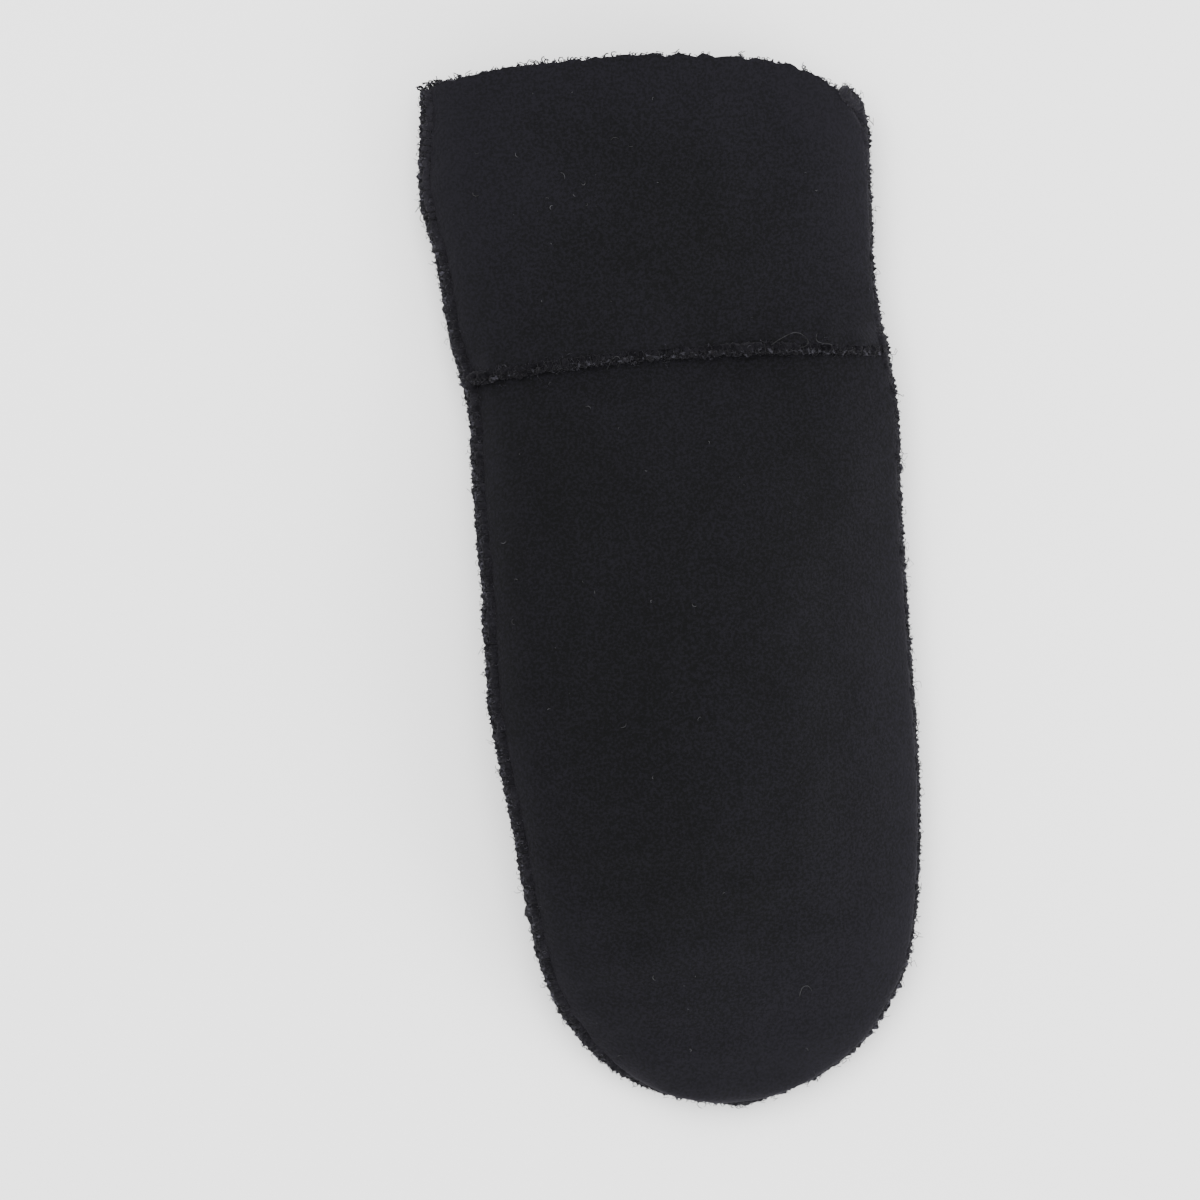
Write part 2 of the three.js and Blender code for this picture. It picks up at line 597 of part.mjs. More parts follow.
const palmSeamRoom = welt(cuffSeamPath(palmBow, true), CROSS_SEAM_HALF_WIDTH, CROSS_SEAM_HALF_HEIGHT, GAP);
const heelSeam = crossSeam(heelSeamPath()).subtract(thumbSeamRoom).subtract(palmSeamRoom);
const crotchSeam = crossSeam(crotchSeamPath()).subtract(thumbSeamRoom);

const nodes = [
  ["back_panel", backPanel, SUEDE_FINISH],
  ["palm_panel", palmPanel, SUEDE_FINISH],
  ["thumb_outer", thumbOuter, SUEDE_FINISH],
  ["thumb_inner", thumbInner, SUEDE_FINISH],
  ["cuff_back", cuffBack, CUFF_FINISH],
  ["cuff_palm", cuffPalm, CUFF_FINISH],
  ["wool_lining", lining, WOOL_FINISH],
  ["side_seam", sideSeam, SEAM_FINISH],
  ["cuff_seam_back", cuffSeamBack, SEAM_FINISH],
  ["cuff_seam_palm", cuffSeamPalm, SEAM_FINISH],
  ["thumb_seam", thumbSeam, SEAM_FINISH],
  ["heel_seam", heelSeam, SEAM_FINISH],
  ["crotch_seam", crotchSeam, SEAM_FINISH],
];

// A solid without the loose slivers that a cut left beside it.
const main = (shape) => shape.decompose().reduce((a, b) => (a.volume() > b.volume() ? a : b));

const group = new THREE.Group();
group.name = "shearling_mitten";
for (const [name, shape, finish] of nodes) {
  const { vertProperties, triVerts } = main(shape).getMesh();
  const geometry = new THREE.BufferGeometry();
  geometry.setAttribute("position", new THREE.BufferAttribute(new Float32Array(vertProperties), 3));
  geometry.setIndex(new THREE.BufferAttribute(new Uint32Array(triVerts), 1));
  geometry.computeVertexNormals();
  const mesh = new THREE.Mesh(geometry, new THREE.MeshStandardMaterial(finish));
  mesh.name = name;
  group.add(mesh);
}
const bounds = new THREE.Box3().setFromObject(group);
const centre = bounds.getCenter(new THREE.Vector3());
for (const mesh of group.children) mesh.geometry.translate(-centre.x, -centre.y, -bounds.min.z);

export default group;
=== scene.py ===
"""A black shearling mitten for the left hand: suede panels, wool lining, raw-edged seams.

Shapes are worked out in millimetres from the long axis of the hand (x = 0) and
its cuff seam (y = 0, the cuff at y > 0), and are placed in the frame in metres.
"""

import functools
import math

import bpy
import numpy as np
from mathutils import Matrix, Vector


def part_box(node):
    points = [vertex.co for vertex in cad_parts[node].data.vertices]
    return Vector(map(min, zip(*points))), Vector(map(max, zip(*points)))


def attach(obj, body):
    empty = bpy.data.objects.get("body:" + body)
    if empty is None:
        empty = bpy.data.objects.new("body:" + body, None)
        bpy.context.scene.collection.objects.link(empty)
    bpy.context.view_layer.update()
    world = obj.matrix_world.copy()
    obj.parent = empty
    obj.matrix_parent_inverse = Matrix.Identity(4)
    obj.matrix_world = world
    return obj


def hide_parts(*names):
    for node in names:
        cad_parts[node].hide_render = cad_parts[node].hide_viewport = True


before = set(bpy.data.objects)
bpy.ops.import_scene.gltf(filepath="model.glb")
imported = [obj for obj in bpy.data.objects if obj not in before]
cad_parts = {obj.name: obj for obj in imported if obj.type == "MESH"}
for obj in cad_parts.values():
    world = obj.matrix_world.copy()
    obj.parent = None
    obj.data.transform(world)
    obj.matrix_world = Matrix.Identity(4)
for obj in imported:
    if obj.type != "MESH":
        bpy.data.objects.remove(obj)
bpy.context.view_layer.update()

bl_info = {
    "name": "Shearling mitten",
    "version": (1, 0, 0),
    "blender": (4, 5, 0),
    "location": "View3D > Sidebar > Mitten",
    "description": "Builds the suede, wool, seams and loose fibres of a shearling mitten",
    "category": "Object",
}

MM = 0.001

# Main sizes, as in the part.
HAND_LENGTH = 210.4
CUFF_LENGTH = 86.5
HALF_WIDTH = 60
THUMB_LENGTH = 129
BODY_THICKNESS = 26
THUMB_THICKNESS = 16.5
THUMB_HALF_WIDTH = 30
SUEDE = 1.6
GAP = 0.3
WOOL = 3
THUMB_WOOL = 2.2
SEAM_PROUD = 3
SEAM_HALF_HEIGHT = 2.4
SEAM_INNER_SHARE = 0.45
CROSS_SEAM_HALF_WIDTH = 1.9
CROSS_SEAM_HALF_HEIGHT = 1.8
CROSS_SEAM_SINK = 0.5
SEAM_RIDGE_LIFT = 3.2
SEAM_RIDGE_REACH = 9
SEAM_RIDGE_FADE = 0.02
PALM_THUMB_GAP = 0.5
LINING_SETBACK = 1
SECTION_POWER = 2.6
SECTION_ROUND = 0.6
FLOOR_PRESS = 1.15
LIFT_FOLLOW = 0.85
TIP_TAPER = 4
TIP_POWER = 6
TIP_SHARE = 0.998
THUMB_SEAM_HEIGHT = 0.48
CROTCH_ALONG = 92
CROTCH_SLOPE = 0.15
CROTCH_BLEND = 4
CROTCH_RISE = 30
CROTCH_SEAM_START = 1.5
CROTCH_SEAM_END = 2
HEEL_SEAM_START = -6
HEEL_START = -3
HEEL_END = -80
THUMB_SEAM_START = 0.52
THUMB_SEAM_TIP = 0.985
THUMB_SEAM_END = 0.76
THUMB_SEAM_PROUD = 0.6
BACK_SEAM_BOW = 0.057
PALM_SEAM_BOW = 0
CUFF_SEAM_SLANT = -0.02
MOUTH_INDEX = -1.08
MOUTH_LITTLE = 0.985

# Sections of the hand and the cuff: share of the length from the cuff seam, then
# shares of HALF_WIDTH to the index and the little finger's side, then shares of
# BODY_THICKNESS for the seam's height and the height above the seam.
HAND = np.array([
    (0.0, 0.993, 0.992, 0.47, 0.46), (0.05, 0.983, 1.02, 0.48, 0.52),
    (0.1, 0.99, 1.026, 0.49, 0.55), (0.2, 0.998, 1.005, 0.5, 0.56),
    (0.3, 0.994, 0.993, 0.5, 0.55), (0.4, 1.01, 0.985, 0.5, 0.54),
    (0.5, 0.993, 0.98, 0.5, 0.54), (0.6, 0.954, 0.968, 0.49, 0.54),
    (0.7, 0.926, 0.933, 0.48, 0.53), (0.78, 0.89, 0.887, 0.45, 0.5),
    (0.84, 0.833, 0.82, 0.42, 0.46), (0.88, 0.758, 0.738, 0.39, 0.42),
    (0.92, 0.655, 0.637, 0.36, 0.36), (0.955, 0.508, 0.475, 0.33, 0.28),
    (0.98, 0.317, 0.292, 0.31, 0.19), (1.0, 0.0, 0.0, 0.3, 0.0),
])
CUFF = np.array([
    (0.0, 0.993, 0.992, 0.47, 0.46), (0.1, 1.032, 0.982, 0.49, 0.53),
    (0.25, 1.055, 0.973, 0.52, 0.59), (0.4, 1.073, 0.985, 0.53, 0.6),
    (0.6, 1.12, 0.998, 0.53, 0.59), (0.72, 1.113, 0.998, 0.52, 0.57),
    (0.85, 1.087, 1.0, 0.51, 0.54), (1.1, 1.06, 1.0, 0.5, 0.5),
])
INDEX, LITTLE, SEAM, TOP = 1, 2, 3, 4

# Cut edge of the mouth: share of HALF_WIDTH across, share of CUFF_LENGTH along.
MOUTH = np.array([
    (-1.3, 0.945), (-1.0, 0.969), (-0.71, 0.993), (-0.4, 0.999), (0.0, 0.994), (0.41, 0.961),
    (0.62, 0.932), (0.75, 0.894), (0.88, 0.83), (0.95, 0.775), (1.0, 0.69), (1.3, 0.45),
])

# Lift of the palm over the folded thumb: shares by place along and across.
LIFT_ALONG = np.array([
    (-0.45, 0.0), (-0.24, 0.0), (-0.1, 0.08), (0.0, 0.17), (0.14, 0.6), (0.28, 0.92), (0.4, 1.0),
    (0.55, 1.0), (0.66, 0.82), (0.78, 0.42), (0.88, 0.1), (0.94, 0.0), (1.0, 0.0),
])
LIFT_ACROSS = np.array([
    (-1.2, 0.86), (-0.75, 1.0), (0.1, 1.0), (0.35, 0.86), (0.62, 0.42), (0.85, 0.08), (0.95, 0.0),
    (1.3, 0.0),
])

# Sections of the thumb: share of its length, then its two edges from the index
# edge of the hand (shares of HALF_WIDTH), how far it still belongs to the hand,
# and its height above its own seam (share of THUMB_THICKNESS).
THUMB = np.array([
    (0.0, 0.0, 0.6, 1.0, 0.4), (0.15, 0.0, 0.77, 1.0, 0.45), (0.3, 0.0, 0.92, 1.0, 0.5),
    (0.43, 0.0, 1.06, 1.0, 0.55), (0.51, 0.0, 1.14, 0.97, 0.6), (0.57, 0.075, 1.2, 0.76, 0.66),
    (0.63, 0.175, 1.25, 0.42, 0.66), (0.69, 0.29, 1.29, 0.12, 0.6), (0.75, 0.41, 1.32, 0.0, 0.54),
    (0.81, 0.56, 1.335, 0.0, 0.5), (0.87, 0.735, 1.33, 0.0, 0.46), (0.92, 0.87, 1.315, 0.0, 0.4),
    (0.96, 0.985, 1.285, 0.0, 0.31), (0.985, 1.065, 1.245, 0.0, 0.2), (1.0, 1.155, 1.155, 0.0, 0.0),
])
NEAR, FAR, JOIN, RISE = 1, 2, 3, 4

# Where the hand's axis and the cuff seam lie in the frame.
AXIS_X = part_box("back_panel")[0].x / MM - SEAM_PROUD + HALF_WIDTH * HAND[:, INDEX].max()
CUFF_SEAM_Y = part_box("thumb_outer")[0].y / MM + TIP_SHARE * THUMB_LENGTH

# The photograph: the pixel over the middle of the cuff seam, millimetres a pixel,
# and how far the mitten is turned in it.
PHOTO_SEAM_PIXEL = (682, 362)
PHOTO_MIDDLE_PIXEL = (600, 600)
PHOTO_PIXELS = 1200
PHOTO_PIXEL_SIZE = 0.28
PHOTO_TURN = math.radians(5.2)
PHOTO_AXIS_OFFSET = 2.0

# Mesh divisions.
ACROSS_COLUMNS = 104
HAND_ROWS = 170
CUFF_ROWS = 72
THUMB_COLUMNS = 56
THUMB_ROWS = 120
LINING_COLUMNS = 88
LINING_ROWS = 110
LINING_ROW_POWER = 1.5
THUMB_SACK_START = 0.35
SEAM_RING_STEP = 0.36
SEAM_SIDES = 18
WOOL_SIDES = 10
PALM_ROWS_TO_CROTCH = 76
GUSSET_COLUMNS = 14
GUSSET_ROWS = 40
PATH_POINTS = 300
SIDE_PATH_POINTS = 500
HEEL_LINE_POINTS = 40
HEEL_PATH_POINTS = 200
CROTCH_PATH_POINTS = 60
THUMB_FAR_POINTS = 160
CORNER_POINTS = 30
THUMB_PATH_STEP = 1.0
PATH_SMOOTHING = 4
FRAME_SMOOTHING = 6
THUMB_SMOOTHING = 2
CURL_STEPS = 6
STRAY_STEPS = 9
STITCH_STEPS = 9
LINT_STEPS = 9
THREAD_STEP = 0.35
SHARP_ANGLE = 60
STEEP = 0.8
TINY = 1e-9

# Rounds in which a line is found by halving or by correction.
HEEL_HALVINGS = 30
MOUTH_ROUNDS = 6
HEEL_ROUNDS = 4
GUSSET_ROUNDS = 3

# Soft form of the suede, in millimetres unless they are shares. The rows of waves are
# each a height and a length.
GUSSET_LAP = 1.5
THUMB_DENT_LENGTH = 30
UNDERSIDE_SHARE = 0.6
SHORT_DENTS = 0.2
DENT_FADE = 0.3
PUCKER_WANDER = 1.6
PUCKER_REACH = 6
RIPPLE_SPREAD = 0.4
CUFF_ROLL = 1.9
CUFF_ROLL_REACH = 5
CUFF_CREASE = 0.55
CUFF_CREASE_REACH = 2.6
OVERHANG = 3.4
OVERHANG_HEIGHT = 3.2
OVERHANG_BELOW = 0.35
OVERHANG_START = -55
OVERHANG_WIDTH = 40
OVERHANG_TO_MOUTH = 9
MOUTH_GUESS = 0.9
MOUTH_RAG = 0.22
RAG_WAVES = ((1, 6), (0.7, 2.2))
RAG_FADE = 0.03
THUMB_ROOT = 16
FLOOR_SQUEEZE = 0.5
FLOOR_CLEARANCE = 0.03

# Seams.
SIDE_SEAM_TILT = 34
TILT_ACROSS = 20
TILT_ALONG = 60
CUFF_SEAM_TILT = 42
SEAM_END_ROUND = 1.6
SEAM_END_SHARE = 0.2
SEAM_CORNERS = (-1.04, 0.87)
CORNER_CLEARANCE = 0.01
EDGE_WAVES = ((0.22, 11), (0.16, 4))
ROUGH_WAVES = ((0.15, 2.6), (0.12, 1.1))
NOTCH_DEPTH = 0.42
NOTCH_WIDTH = 0.42
PINCH_LEAN = 0.4
STITCH_DRIFT = 0.18
STITCH_DRIFT_PITCHES = 9
STITCH_TURN = 2.2
STITCH_SLANT = 0.5
STITCH_HUG = (0.84, 0.93)
STITCH_PROUD = 0.2
CORE_SHARES = (0.9, 0.4)
# Painted shade: the cross seams get darker copies of the raw edge and wool materials.
CROSS_SEAM_PAINTED_SHADE = 0.7

# Wool. The lengths of the curls are spread as the exponential of a normal draw.
LUMP_HEIGHT = 0.42
LUMP_LENGTH = 2.2
LUMP_GRAIN = 0.22
LUMP_GRAIN_LENGTH = 1.1
LUMP_SINK = 0.2
PILE_LUMP = 0.55
PILE_LENGTH = 5.5
PILE_CURLS = 0.8
PILE_CURL_LENGTH = 2.4
PILE_SINK = 0.6
CURL_TURNS = (0.6, 1.5)
CURL_WIDTH = 0.34
CURL_START = 0.35
CURL_DROOP = 0.4
CURL_TAPER = 0.55
LOCK_SPREAD = (0.7, 1.2)
CURL_FAN = 0.8
CURL_FAN_LIMIT = 1.6
CURL_ROOTS = (0.78, 0.8)
CURL_SCATTER = 0.7
CURL_MEAN = -0.3
CURL_SPREAD = 0.3
CLUMP_WAVES = ((0.25, 5), (0.2, 1.7))
MOUTH_CURLS = 1900
MOUTH_CURL_DEPTH = 34
MOUTH_CURL_POWER = 3
MOUTH_CURL_SHARE = 1.9
MOUTH_CURL_THICKNESS = 2.1
MOUTH_CURL_INSET = 0.15
MOUTH_CURL_JITTER = 0.01
MOUTH_CURL_OUT = 0.8
MOUTH_CURL_SCATTER = 0.8
STRAY_COUNT = 26
STRAY_LENGTH = 3.8
STRAY_LENGTHS = (0.5, 1.2)
STRAY_THICKNESS = 2.8
STRAY_ROOT = 0.8
STRAY_AIM = (-0.3, 1, 0.2)
STRAY_SCATTER = 0.5

# Lint and loose threads.
LINT_COUNT = 60
LINT_RADIUS = 0.1
LINT_RADII = (0.6, 1.1)
LINT_TAPER = 0.5
LINT_PLACED_SIZE = 1.4
LINT_SPREAD_SIZE = 0.8
LINT_SIZE_SPREAD = 0.3
LINT_SWEEP = (0.1, 3.4)
LINT_BEND = 0.6
LINT_CLEARANCE = 0.12
LINT_ARCH = 0.25
LINT_WITHIN = 0.93
LINT_TO_MOUTH = 3
THREAD_ARCH = 0.9
THREAD_OVER_SEAM = 2.2
THREAD_SEAM_REACH = 3
THREAD_SHADE = 0.55

# Ends of the cross seams that the side seam catches.
CAUGHT_ENDS = (
    (-HALF_WIDTH, 0), (HALF_WIDTH, 0), (-HALF_WIDTH, -66), (-HALF_WIDTH, -CROTCH_ALONG), (HALF_WIDTH, 59))
CAUGHT_ACROSS = 20
CAUGHT_ALONG = 3.2
CAUGHT_REACH = 0.9

# Pixels of the photograph where curls of lint and loose threads lie, the two between
# which stray curls stand at the mouth, and the corners of the field where lint is spread.
LINT_PIXELS = (
    (655, 975), (540, 305), (503, 541), (550, 385), (616, 143), (630, 147), (562, 179), (584, 185),
    (597, 180), (585, 205), (595, 205), (514, 218), (537, 214), (547, 203), (476, 195), (586, 367),
    (482, 371), (504, 367), (588, 409), (653, 415), (597, 591), (516, 621), (557, 652),
)
LINT_FIELD = ((470, 90), (900, 1060))
STRAY_PIXELS = ((421, 86), (468, 76))
THREAD_PIXELS = (
    ((766, 350), (772, 345), (778, 341), (785, 337), (791, 334), (797, 333), (803, 337), (808, 342),
     (807, 347), (799, 349), (789, 348), (779, 350)),
    ((817, 333), (814, 338), (815, 343), (819, 345), (826, 344), (833, 347)),
    ((414, 212), (419, 204), (425, 203), (426, 209), (420, 213), (418, 219), (424, 222)),
    ((606, 372), (612, 360), (618, 356), (621, 362), (617, 370)),
    ((799, 998), (800, 988), (805, 983), (810, 986), (812, 992)),
)

# Floor, lights and camera, in metres.
FLOOR_SIZE = 8
KEY_PLACE = (-0.2, 0.5, 1.5)
KEY_SIZE = 1.3
RIM_PLACE = (1.1, -0.85, 0.5)
RIM_SIZE = 1.0
CAMERA_LENS = 180
CAMERA_LEVEL = 20

# How the painted rim light spreads from the middle of the mitten, making the suede lighter towards its
# sides and ends, a metre across and along.
PAINTED_RIM_SPREAD = (13.0, 6.5, 0.0)

# Grains of the noises in the materials, a metre.
NAP_PATCHES = 24
NAP_STROKES = 150
NAP_GRAIN = 1250
NAP_FINE = 3600
EDGE_TORN = 1300
EDGE_PATCHES = 240
WOOL_SWIRL = 700
WOOL_LOCKS = 190
WOOL_PAINTED_GLINTS = 900
THREAD_PLIES = 2600
LINT_TONE = 420
FLOOR_TONE = 9

# Where along the cuff the raw edges get lighter by painted light, in metres in the frame.
PAINTED_LIFT_FROM, PAINTED_LIFT_TO = 0.085, 0.13

# Seeds of the random draws.
SEEDS = {"dents": 11, "palm_dents": 13, "thumb": 17, "curls": 37, "pile": 41, "rag": 47, "lint": 59}
SEAM_SEEDS = {
    "side_seam": 23, "cuff_seam_back": 43, "cuff_seam_palm": 63, "heel_seam": 83, "crotch_seam": 103,
    "thumb_seam": 143,
}
CORE_SEED = 10


class MittenSizes(bpy.types.PropertyGroup):
    """Sizes of the mitten's soft details, in metres."""

    dent_depth: bpy.props.FloatProperty(
        name="Dent depth", description="Depth of the soft dents in the suede",
        default=0.00065, min=0, max=0.003, subtype="DISTANCE", unit="LENGTH")
    dent_length: bpy.props.FloatProperty(
        name="Dent length", description="Typical distance from one soft dent to the next",
        default=0.055, min=0.01, max=0.2, subtype="DISTANCE", unit="LENGTH")
    pucker_depth: bpy.props.FloatProperty(
        name="Pucker depth", description="Depth of the puckers beside the seams",
        default=0.0003, min=0, max=0.002, subtype="DISTANCE", unit="LENGTH")
    pucker_pitch: bpy.props.FloatProperty(
        name="Pucker pitch", description="Distance between puckers along a seam",
        default=0.0105, min=0.003, max=0.04, subtype="DISTANCE", unit="LENGTH")
    stitch_pitch: bpy.props.FloatProperty(
        name="Stitch pitch", description="Distance between the overcast stitches of a seam",
        default=0.0021, min=0.001, max=0.006, subtype="DISTANCE", unit="LENGTH")
    stitch_pinch: bpy.props.FloatProperty(
        name="Stitch pinch", description="How far a stitch pinches the raw edges",
        default=0.0006, min=0, max=0.001, subtype="DISTANCE", unit="LENGTH")
    thread_radius: bpy.props.FloatProperty(
        name="Thread radius", description="Radius of the sewing thread",
        default=0.00013, min=0.00005, max=0.0005, subtype="DISTANCE", unit="LENGTH")
    curl_length: bpy.props.FloatProperty(
        name="Curl length", description="Length of a wool curl that shows in a seam",
        default=0.0019, min=0.0005, max=0.006, subtype="DISTANCE", unit="LENGTH")
    fibre_radius: bpy.props.FloatProperty(
        name="Lock radius", description="Radius of a small lock of wool fibres",
        default=0.00011, min=0.00002, max=0.0004, subtype="DISTANCE", unit="LENGTH")
    curls_per_metre: bpy.props.IntProperty(
        name="Curls per metre", description="Wool curls along a metre of seam",
        default=3400, min=0, max=6000)


class MittenColours(bpy.types.PropertyGroup):
    """Colours of the mitten and of what lies on it."""

    suede: bpy.props.FloatVectorProperty(
        name="Suede", description="Colour of the suede on the hand",
        default=(0.0028, 0.0029, 0.0030), min=0, max=1, subtype="COLOR")
    # Lighter suede colour: used for random nap patches, and for painted rim light towards the mitten's
    # sides and ends.
    suede_nap_and_painted_rim: bpy.props.FloatVectorProperty(
        name="Brushed suede", description="Colour of the suede where its nap is brushed up",
        default=(0.0064, 0.0061, 0.0080), min=0, max=1, subtype="COLOR")
    raw_edge: bpy.props.FloatVectorProperty(
        name="Raw edge", description="Colour of the cut edges in the seams",
        default=(0.0056, 0.0053, 0.0067), min=0, max=1, subtype="COLOR")
    wool: bpy.props.FloatVectorProperty(
        name="Wool", description="Colour of the wool",
        default=(0.0068, 0.0066, 0.0082), min=0, max=1, subtype="COLOR")
    thread: bpy.props.FloatVectorProperty(
        name="Thread", description="Colour of the sewing thread",
        default=(0.0048, 0.0047, 0.0055), min=0, max=1, subtype="COLOR")
    lint: bpy.props.FloatVectorProperty(
        name="Lint", description="Colour of the loose fibres on the suede",
        default=(0.024, 0.024, 0.0265), min=0, max=1, subtype="COLOR")


class StageSettings(bpy.types.PropertyGroup):
    """Floor and light of the picture."""

    floor: bpy.props.FloatVectorProperty(
        name="Floor", description="Colour of the floor",
        default=(0.86, 0.86, 0.86), min=0, max=1, subtype="COLOR")
    key_power: bpy.props.FloatProperty(
        name="Key light", description="Power of the large soft light",
        default=41, min=0, unit="POWER")
    rim_power: bpy.props.FloatProperty(
        name="Rim light", description="Power of the low light from the other side",
        default=31, min=0, unit="POWER")
    sky: bpy.props.FloatProperty(
        name="Sky", description="Strength of the even light from all around",
        default=1.82, min=0)


# Shape of the mitten.

def curve(table, column, at):
    """Cubic Hermite curve through a table's rows; each row's slope is that of the line
    between its two neighbours, and the curve is level past both ends."""
    x, y = table[:, 0], table[:, column]
    at = np.clip(at, x[0], x[-1])
    i = np.clip(np.searchsorted(x, at, side="right") - 1, 0, len(x) - 2)
    before, after = np.maximum(np.arange(len(x)) - 1, 0), np.minimum(np.arange(len(x)) + 1, len(x) - 1)
    slope = (y[after] - y[before]) / (x[after] - x[before])
    span = x[i + 1] - x[i]
    u = (at - x[i]) / span
    return (y[i] * (2 * u**3 - 3 * u**2 + 1) + slope[i] * span * (u**3 - 2 * u**2 + u)
            + y[i + 1] * (3 * u**2 - 2 * u**3) + slope[i + 1] * span * (u**3 - u**2))


def smooth_step(u):
    """3u² - 2u³ between 0 and 1."""
    c = np.clip(u, 0, 1)
    return c * c * (3 - 2 * c)


def bulge(s):
    """Height share of a section: (1 - |s|^power)^round, from edge (-1) to edge (1)."""
    return np.maximum(1 - np.abs(s)**SECTION_POWER, 0)**SECTION_ROUND


def section(column, y):
    """One column of the hand's sections below the cuff seam and of the cuff's above it."""
    return np.where(y <= 0, curve(HAND, column, -y / HAND_LENGTH), curve(CUFF, column, y / CUFF_LENGTH))


def lift(x, y):
    """What the palm rests on: the folded thumb, as a share along times a share across,
    or a bell-shaped ridge over the cuff seam, or the floor."""
    over_thumb = curve(LIFT_ALONG, 1, -y / HAND_LENGTH) * curve(LIFT_ACROSS, 1, x / HALF_WIDTH)
    ridge = SEAM_RIDGE_LIFT * np.exp(-(y / SEAM_RIDGE_REACH)**2) - SEAM_RIDGE_FADE
    return np.maximum(np.maximum(THUMB_THICKNESS * np.maximum(over_thumb, 0), ridge), 0)


def seam_height(x, y):
    """Height of the side seams: a share of the thickness, plus most of the palm's lift."""
    return BODY_THICKNESS * section(SEAM, y) + LIFT_FOLLOW * lift(x, y)


def from_tip(share):
    """0 at a tip, rising to 1 at full size."""
    return np.minimum(1, share * TIP_TAPER)


def index_edge(y):
    """Place of the panels' edge on the index side, inside the seam."""
    return SEAM_PROUD * from_tip(section(INDEX, y)) - HALF_WIDTH * section(INDEX, y)


def little_edge(y):
    """Place of the panels' edge on the little finger's side, inside the seam."""
    return HALF_WIDTH * section(LITTLE, y) - SEAM_PROUD * from_tip(section(LITTLE, y))


def drawn_in(y, length, inset):
    """A section's place when the tip of its pouch is drawn in by the inset."""
    return y + inset * (np.maximum(-y, 0) / length)**TIP_POWER


def body_share(x, y):
    """Share across the body's section at y: -1 at the index edge, 1 at the other."""
    return (2 * x - index_edge(y) - little_edge(y)) / (little_edge(y) - index_edge(y))


def body(s, y, inset=0.0, below=False):
    """Point of the body at share s across its section at y, inset from its outside. Above:
    the seam's height plus the section's bulge. Below: the seam's height less a stronger
    bulge, pressed flat on what the palm rests on."""
    s, y = np.broadcast_arrays(np.asarray(s, float), np.asarray(y, float))
    size = HALF_WIDTH - SEAM_PROUD
    x = (index_edge(y) + little_edge(y)) / 2
    x = x + (little_edge(y) - index_edge(y)) / 2 * (size - inset) / size * s
    place = drawn_in(y, HAND_LENGTH, SEAM_PROUD + inset)
    seam = seam_height(x, place)
    thin = (BODY_THICKNESS / 2 - inset) / (BODY_THICKNESS / 2)
    if below:
        hang = FLOOR_PRESS * BODY_THICKNESS * section(SEAM, y) * from_tip(section(TOP, y))
        z = np.maximum(lift(x, place) + inset, seam - hang * thin * bulge(s))
    else:
        z = seam + BODY_THICKNESS * section(TOP, y) * thin * bulge(s)
    return np.stack([x, place, z], -1)


def thumb_column(column, y):
    """One column of the thumb's sections at y."""
    return curve(THUMB, column, -y / THUMB_LENGTH)


def thumb_near(y):
    """Place of the thumb's edge on the index side."""
    return index_edge(y) + HALF_WIDTH * thumb_column(NEAR, y)


def thumb_far(y):
    """Place of the thumb's edge under the palm."""
    return index_edge(y) + HALF_WIDTH * thumb_column(FAR, y)


def thumb_seam_height(x, y):
    """Height of the thumb's seam: the side seam's where it belongs to the hand, and a
    share of its own thickness where it hangs free."""
    join = np.clip(thumb_column(JOIN, y), 0, 1)
    return join * seam_height(x, y) + (1 - join) * THUMB_SEAM_HEIGHT * THUMB_THICKNESS


def crotch_at(x):
    """The slanted line of the crotch between thumb and palm."""
    return CROTCH_SLOPE * (x + HALF_WIDTH) - CROTCH_ALONG


def thumb(s, y, inset=0.0, below=False):
    """Point of the thumb, as for the body; its upper side stays under the palm and turns
    up into the hand at the crotch."""
    s, y = np.broadcast_arrays(np.asarray(s, float), np.asarray(y, float))
    x = (thumb_near(y) + thumb_far(y)) / 2
    x = x + (thumb_far(y) - thumb_near(y)) / 2 * (THUMB_HALF_WIDTH - inset) / THUMB_HALF_WIDTH * s
    place = drawn_in(y, THUMB_LENGTH, inset)
    seam = thumb_seam_height(x, place)
    thin = (THUMB_THICKNESS / 2 - inset) / (THUMB_THICKNESS / 2)
    rise = thumb_column(RISE, y)
    if below:
        z = np.maximum(inset, seam - FLOOR_PRESS * seam * from_tip(rise) * thin * bulge(s))
    else:
        free = smooth_step((crotch_at(x) + CROTCH_BLEND - place) / CROTCH_BLEND)
        cover = lift(x, place) - PALM_THUMB_GAP - inset + CROTCH_RISE * (1 - free)
        z = np.minimum(cover, seam + THUMB_THICKNESS * rise * thin * bulge(s))
    return np.stack([x, place, z], -1)


def thumb_root(s, y, inset, below):
    """Point of the thumb's outer piece: on the body's underside at the cuff seam, from
    where it sinks to the thumb's own underside."""
    points = thumb(s, y, inset, below)
    share = np.clip(body_share(points[..., 0], points[..., 1]), -1, 1)
    from_body = points[..., 2] - body(share, points[..., 1], inset, below)[..., 2]
    points[..., 2] -= from_body * (1 - smooth_step(-points[..., 1] / THUMB_ROOT))
    return points


def cuff_seam_at(x, bow):
    """Line of a cuff seam: a parabola's bow to the cuff plus a slant."""
    s = x / HALF_WIDTH
    return HALF_WIDTH * (bow * np.maximum(1 - s * s, 0) + CUFF_SEAM_SLANT * s)


def mouth_at(x):
    """Line of the mouth's cut edge."""
    return CUFF_LENGTH * curve(MOUTH, 1, x / HALF_WIDTH)


def underside(point, near, far, x, y):
    """Height of the underside of the body or of the thumb at x, y."""
    s = (2 * x - near(y) - far(y)) / (far(y) - near(y))
    return point(np.clip(s, -1, 1), y, 0, True)[..., 2]


def palm_height(x, y):
    """Height of the palm's underside at x, y."""
    return underside(body, index_edge, little_edge, x, y)


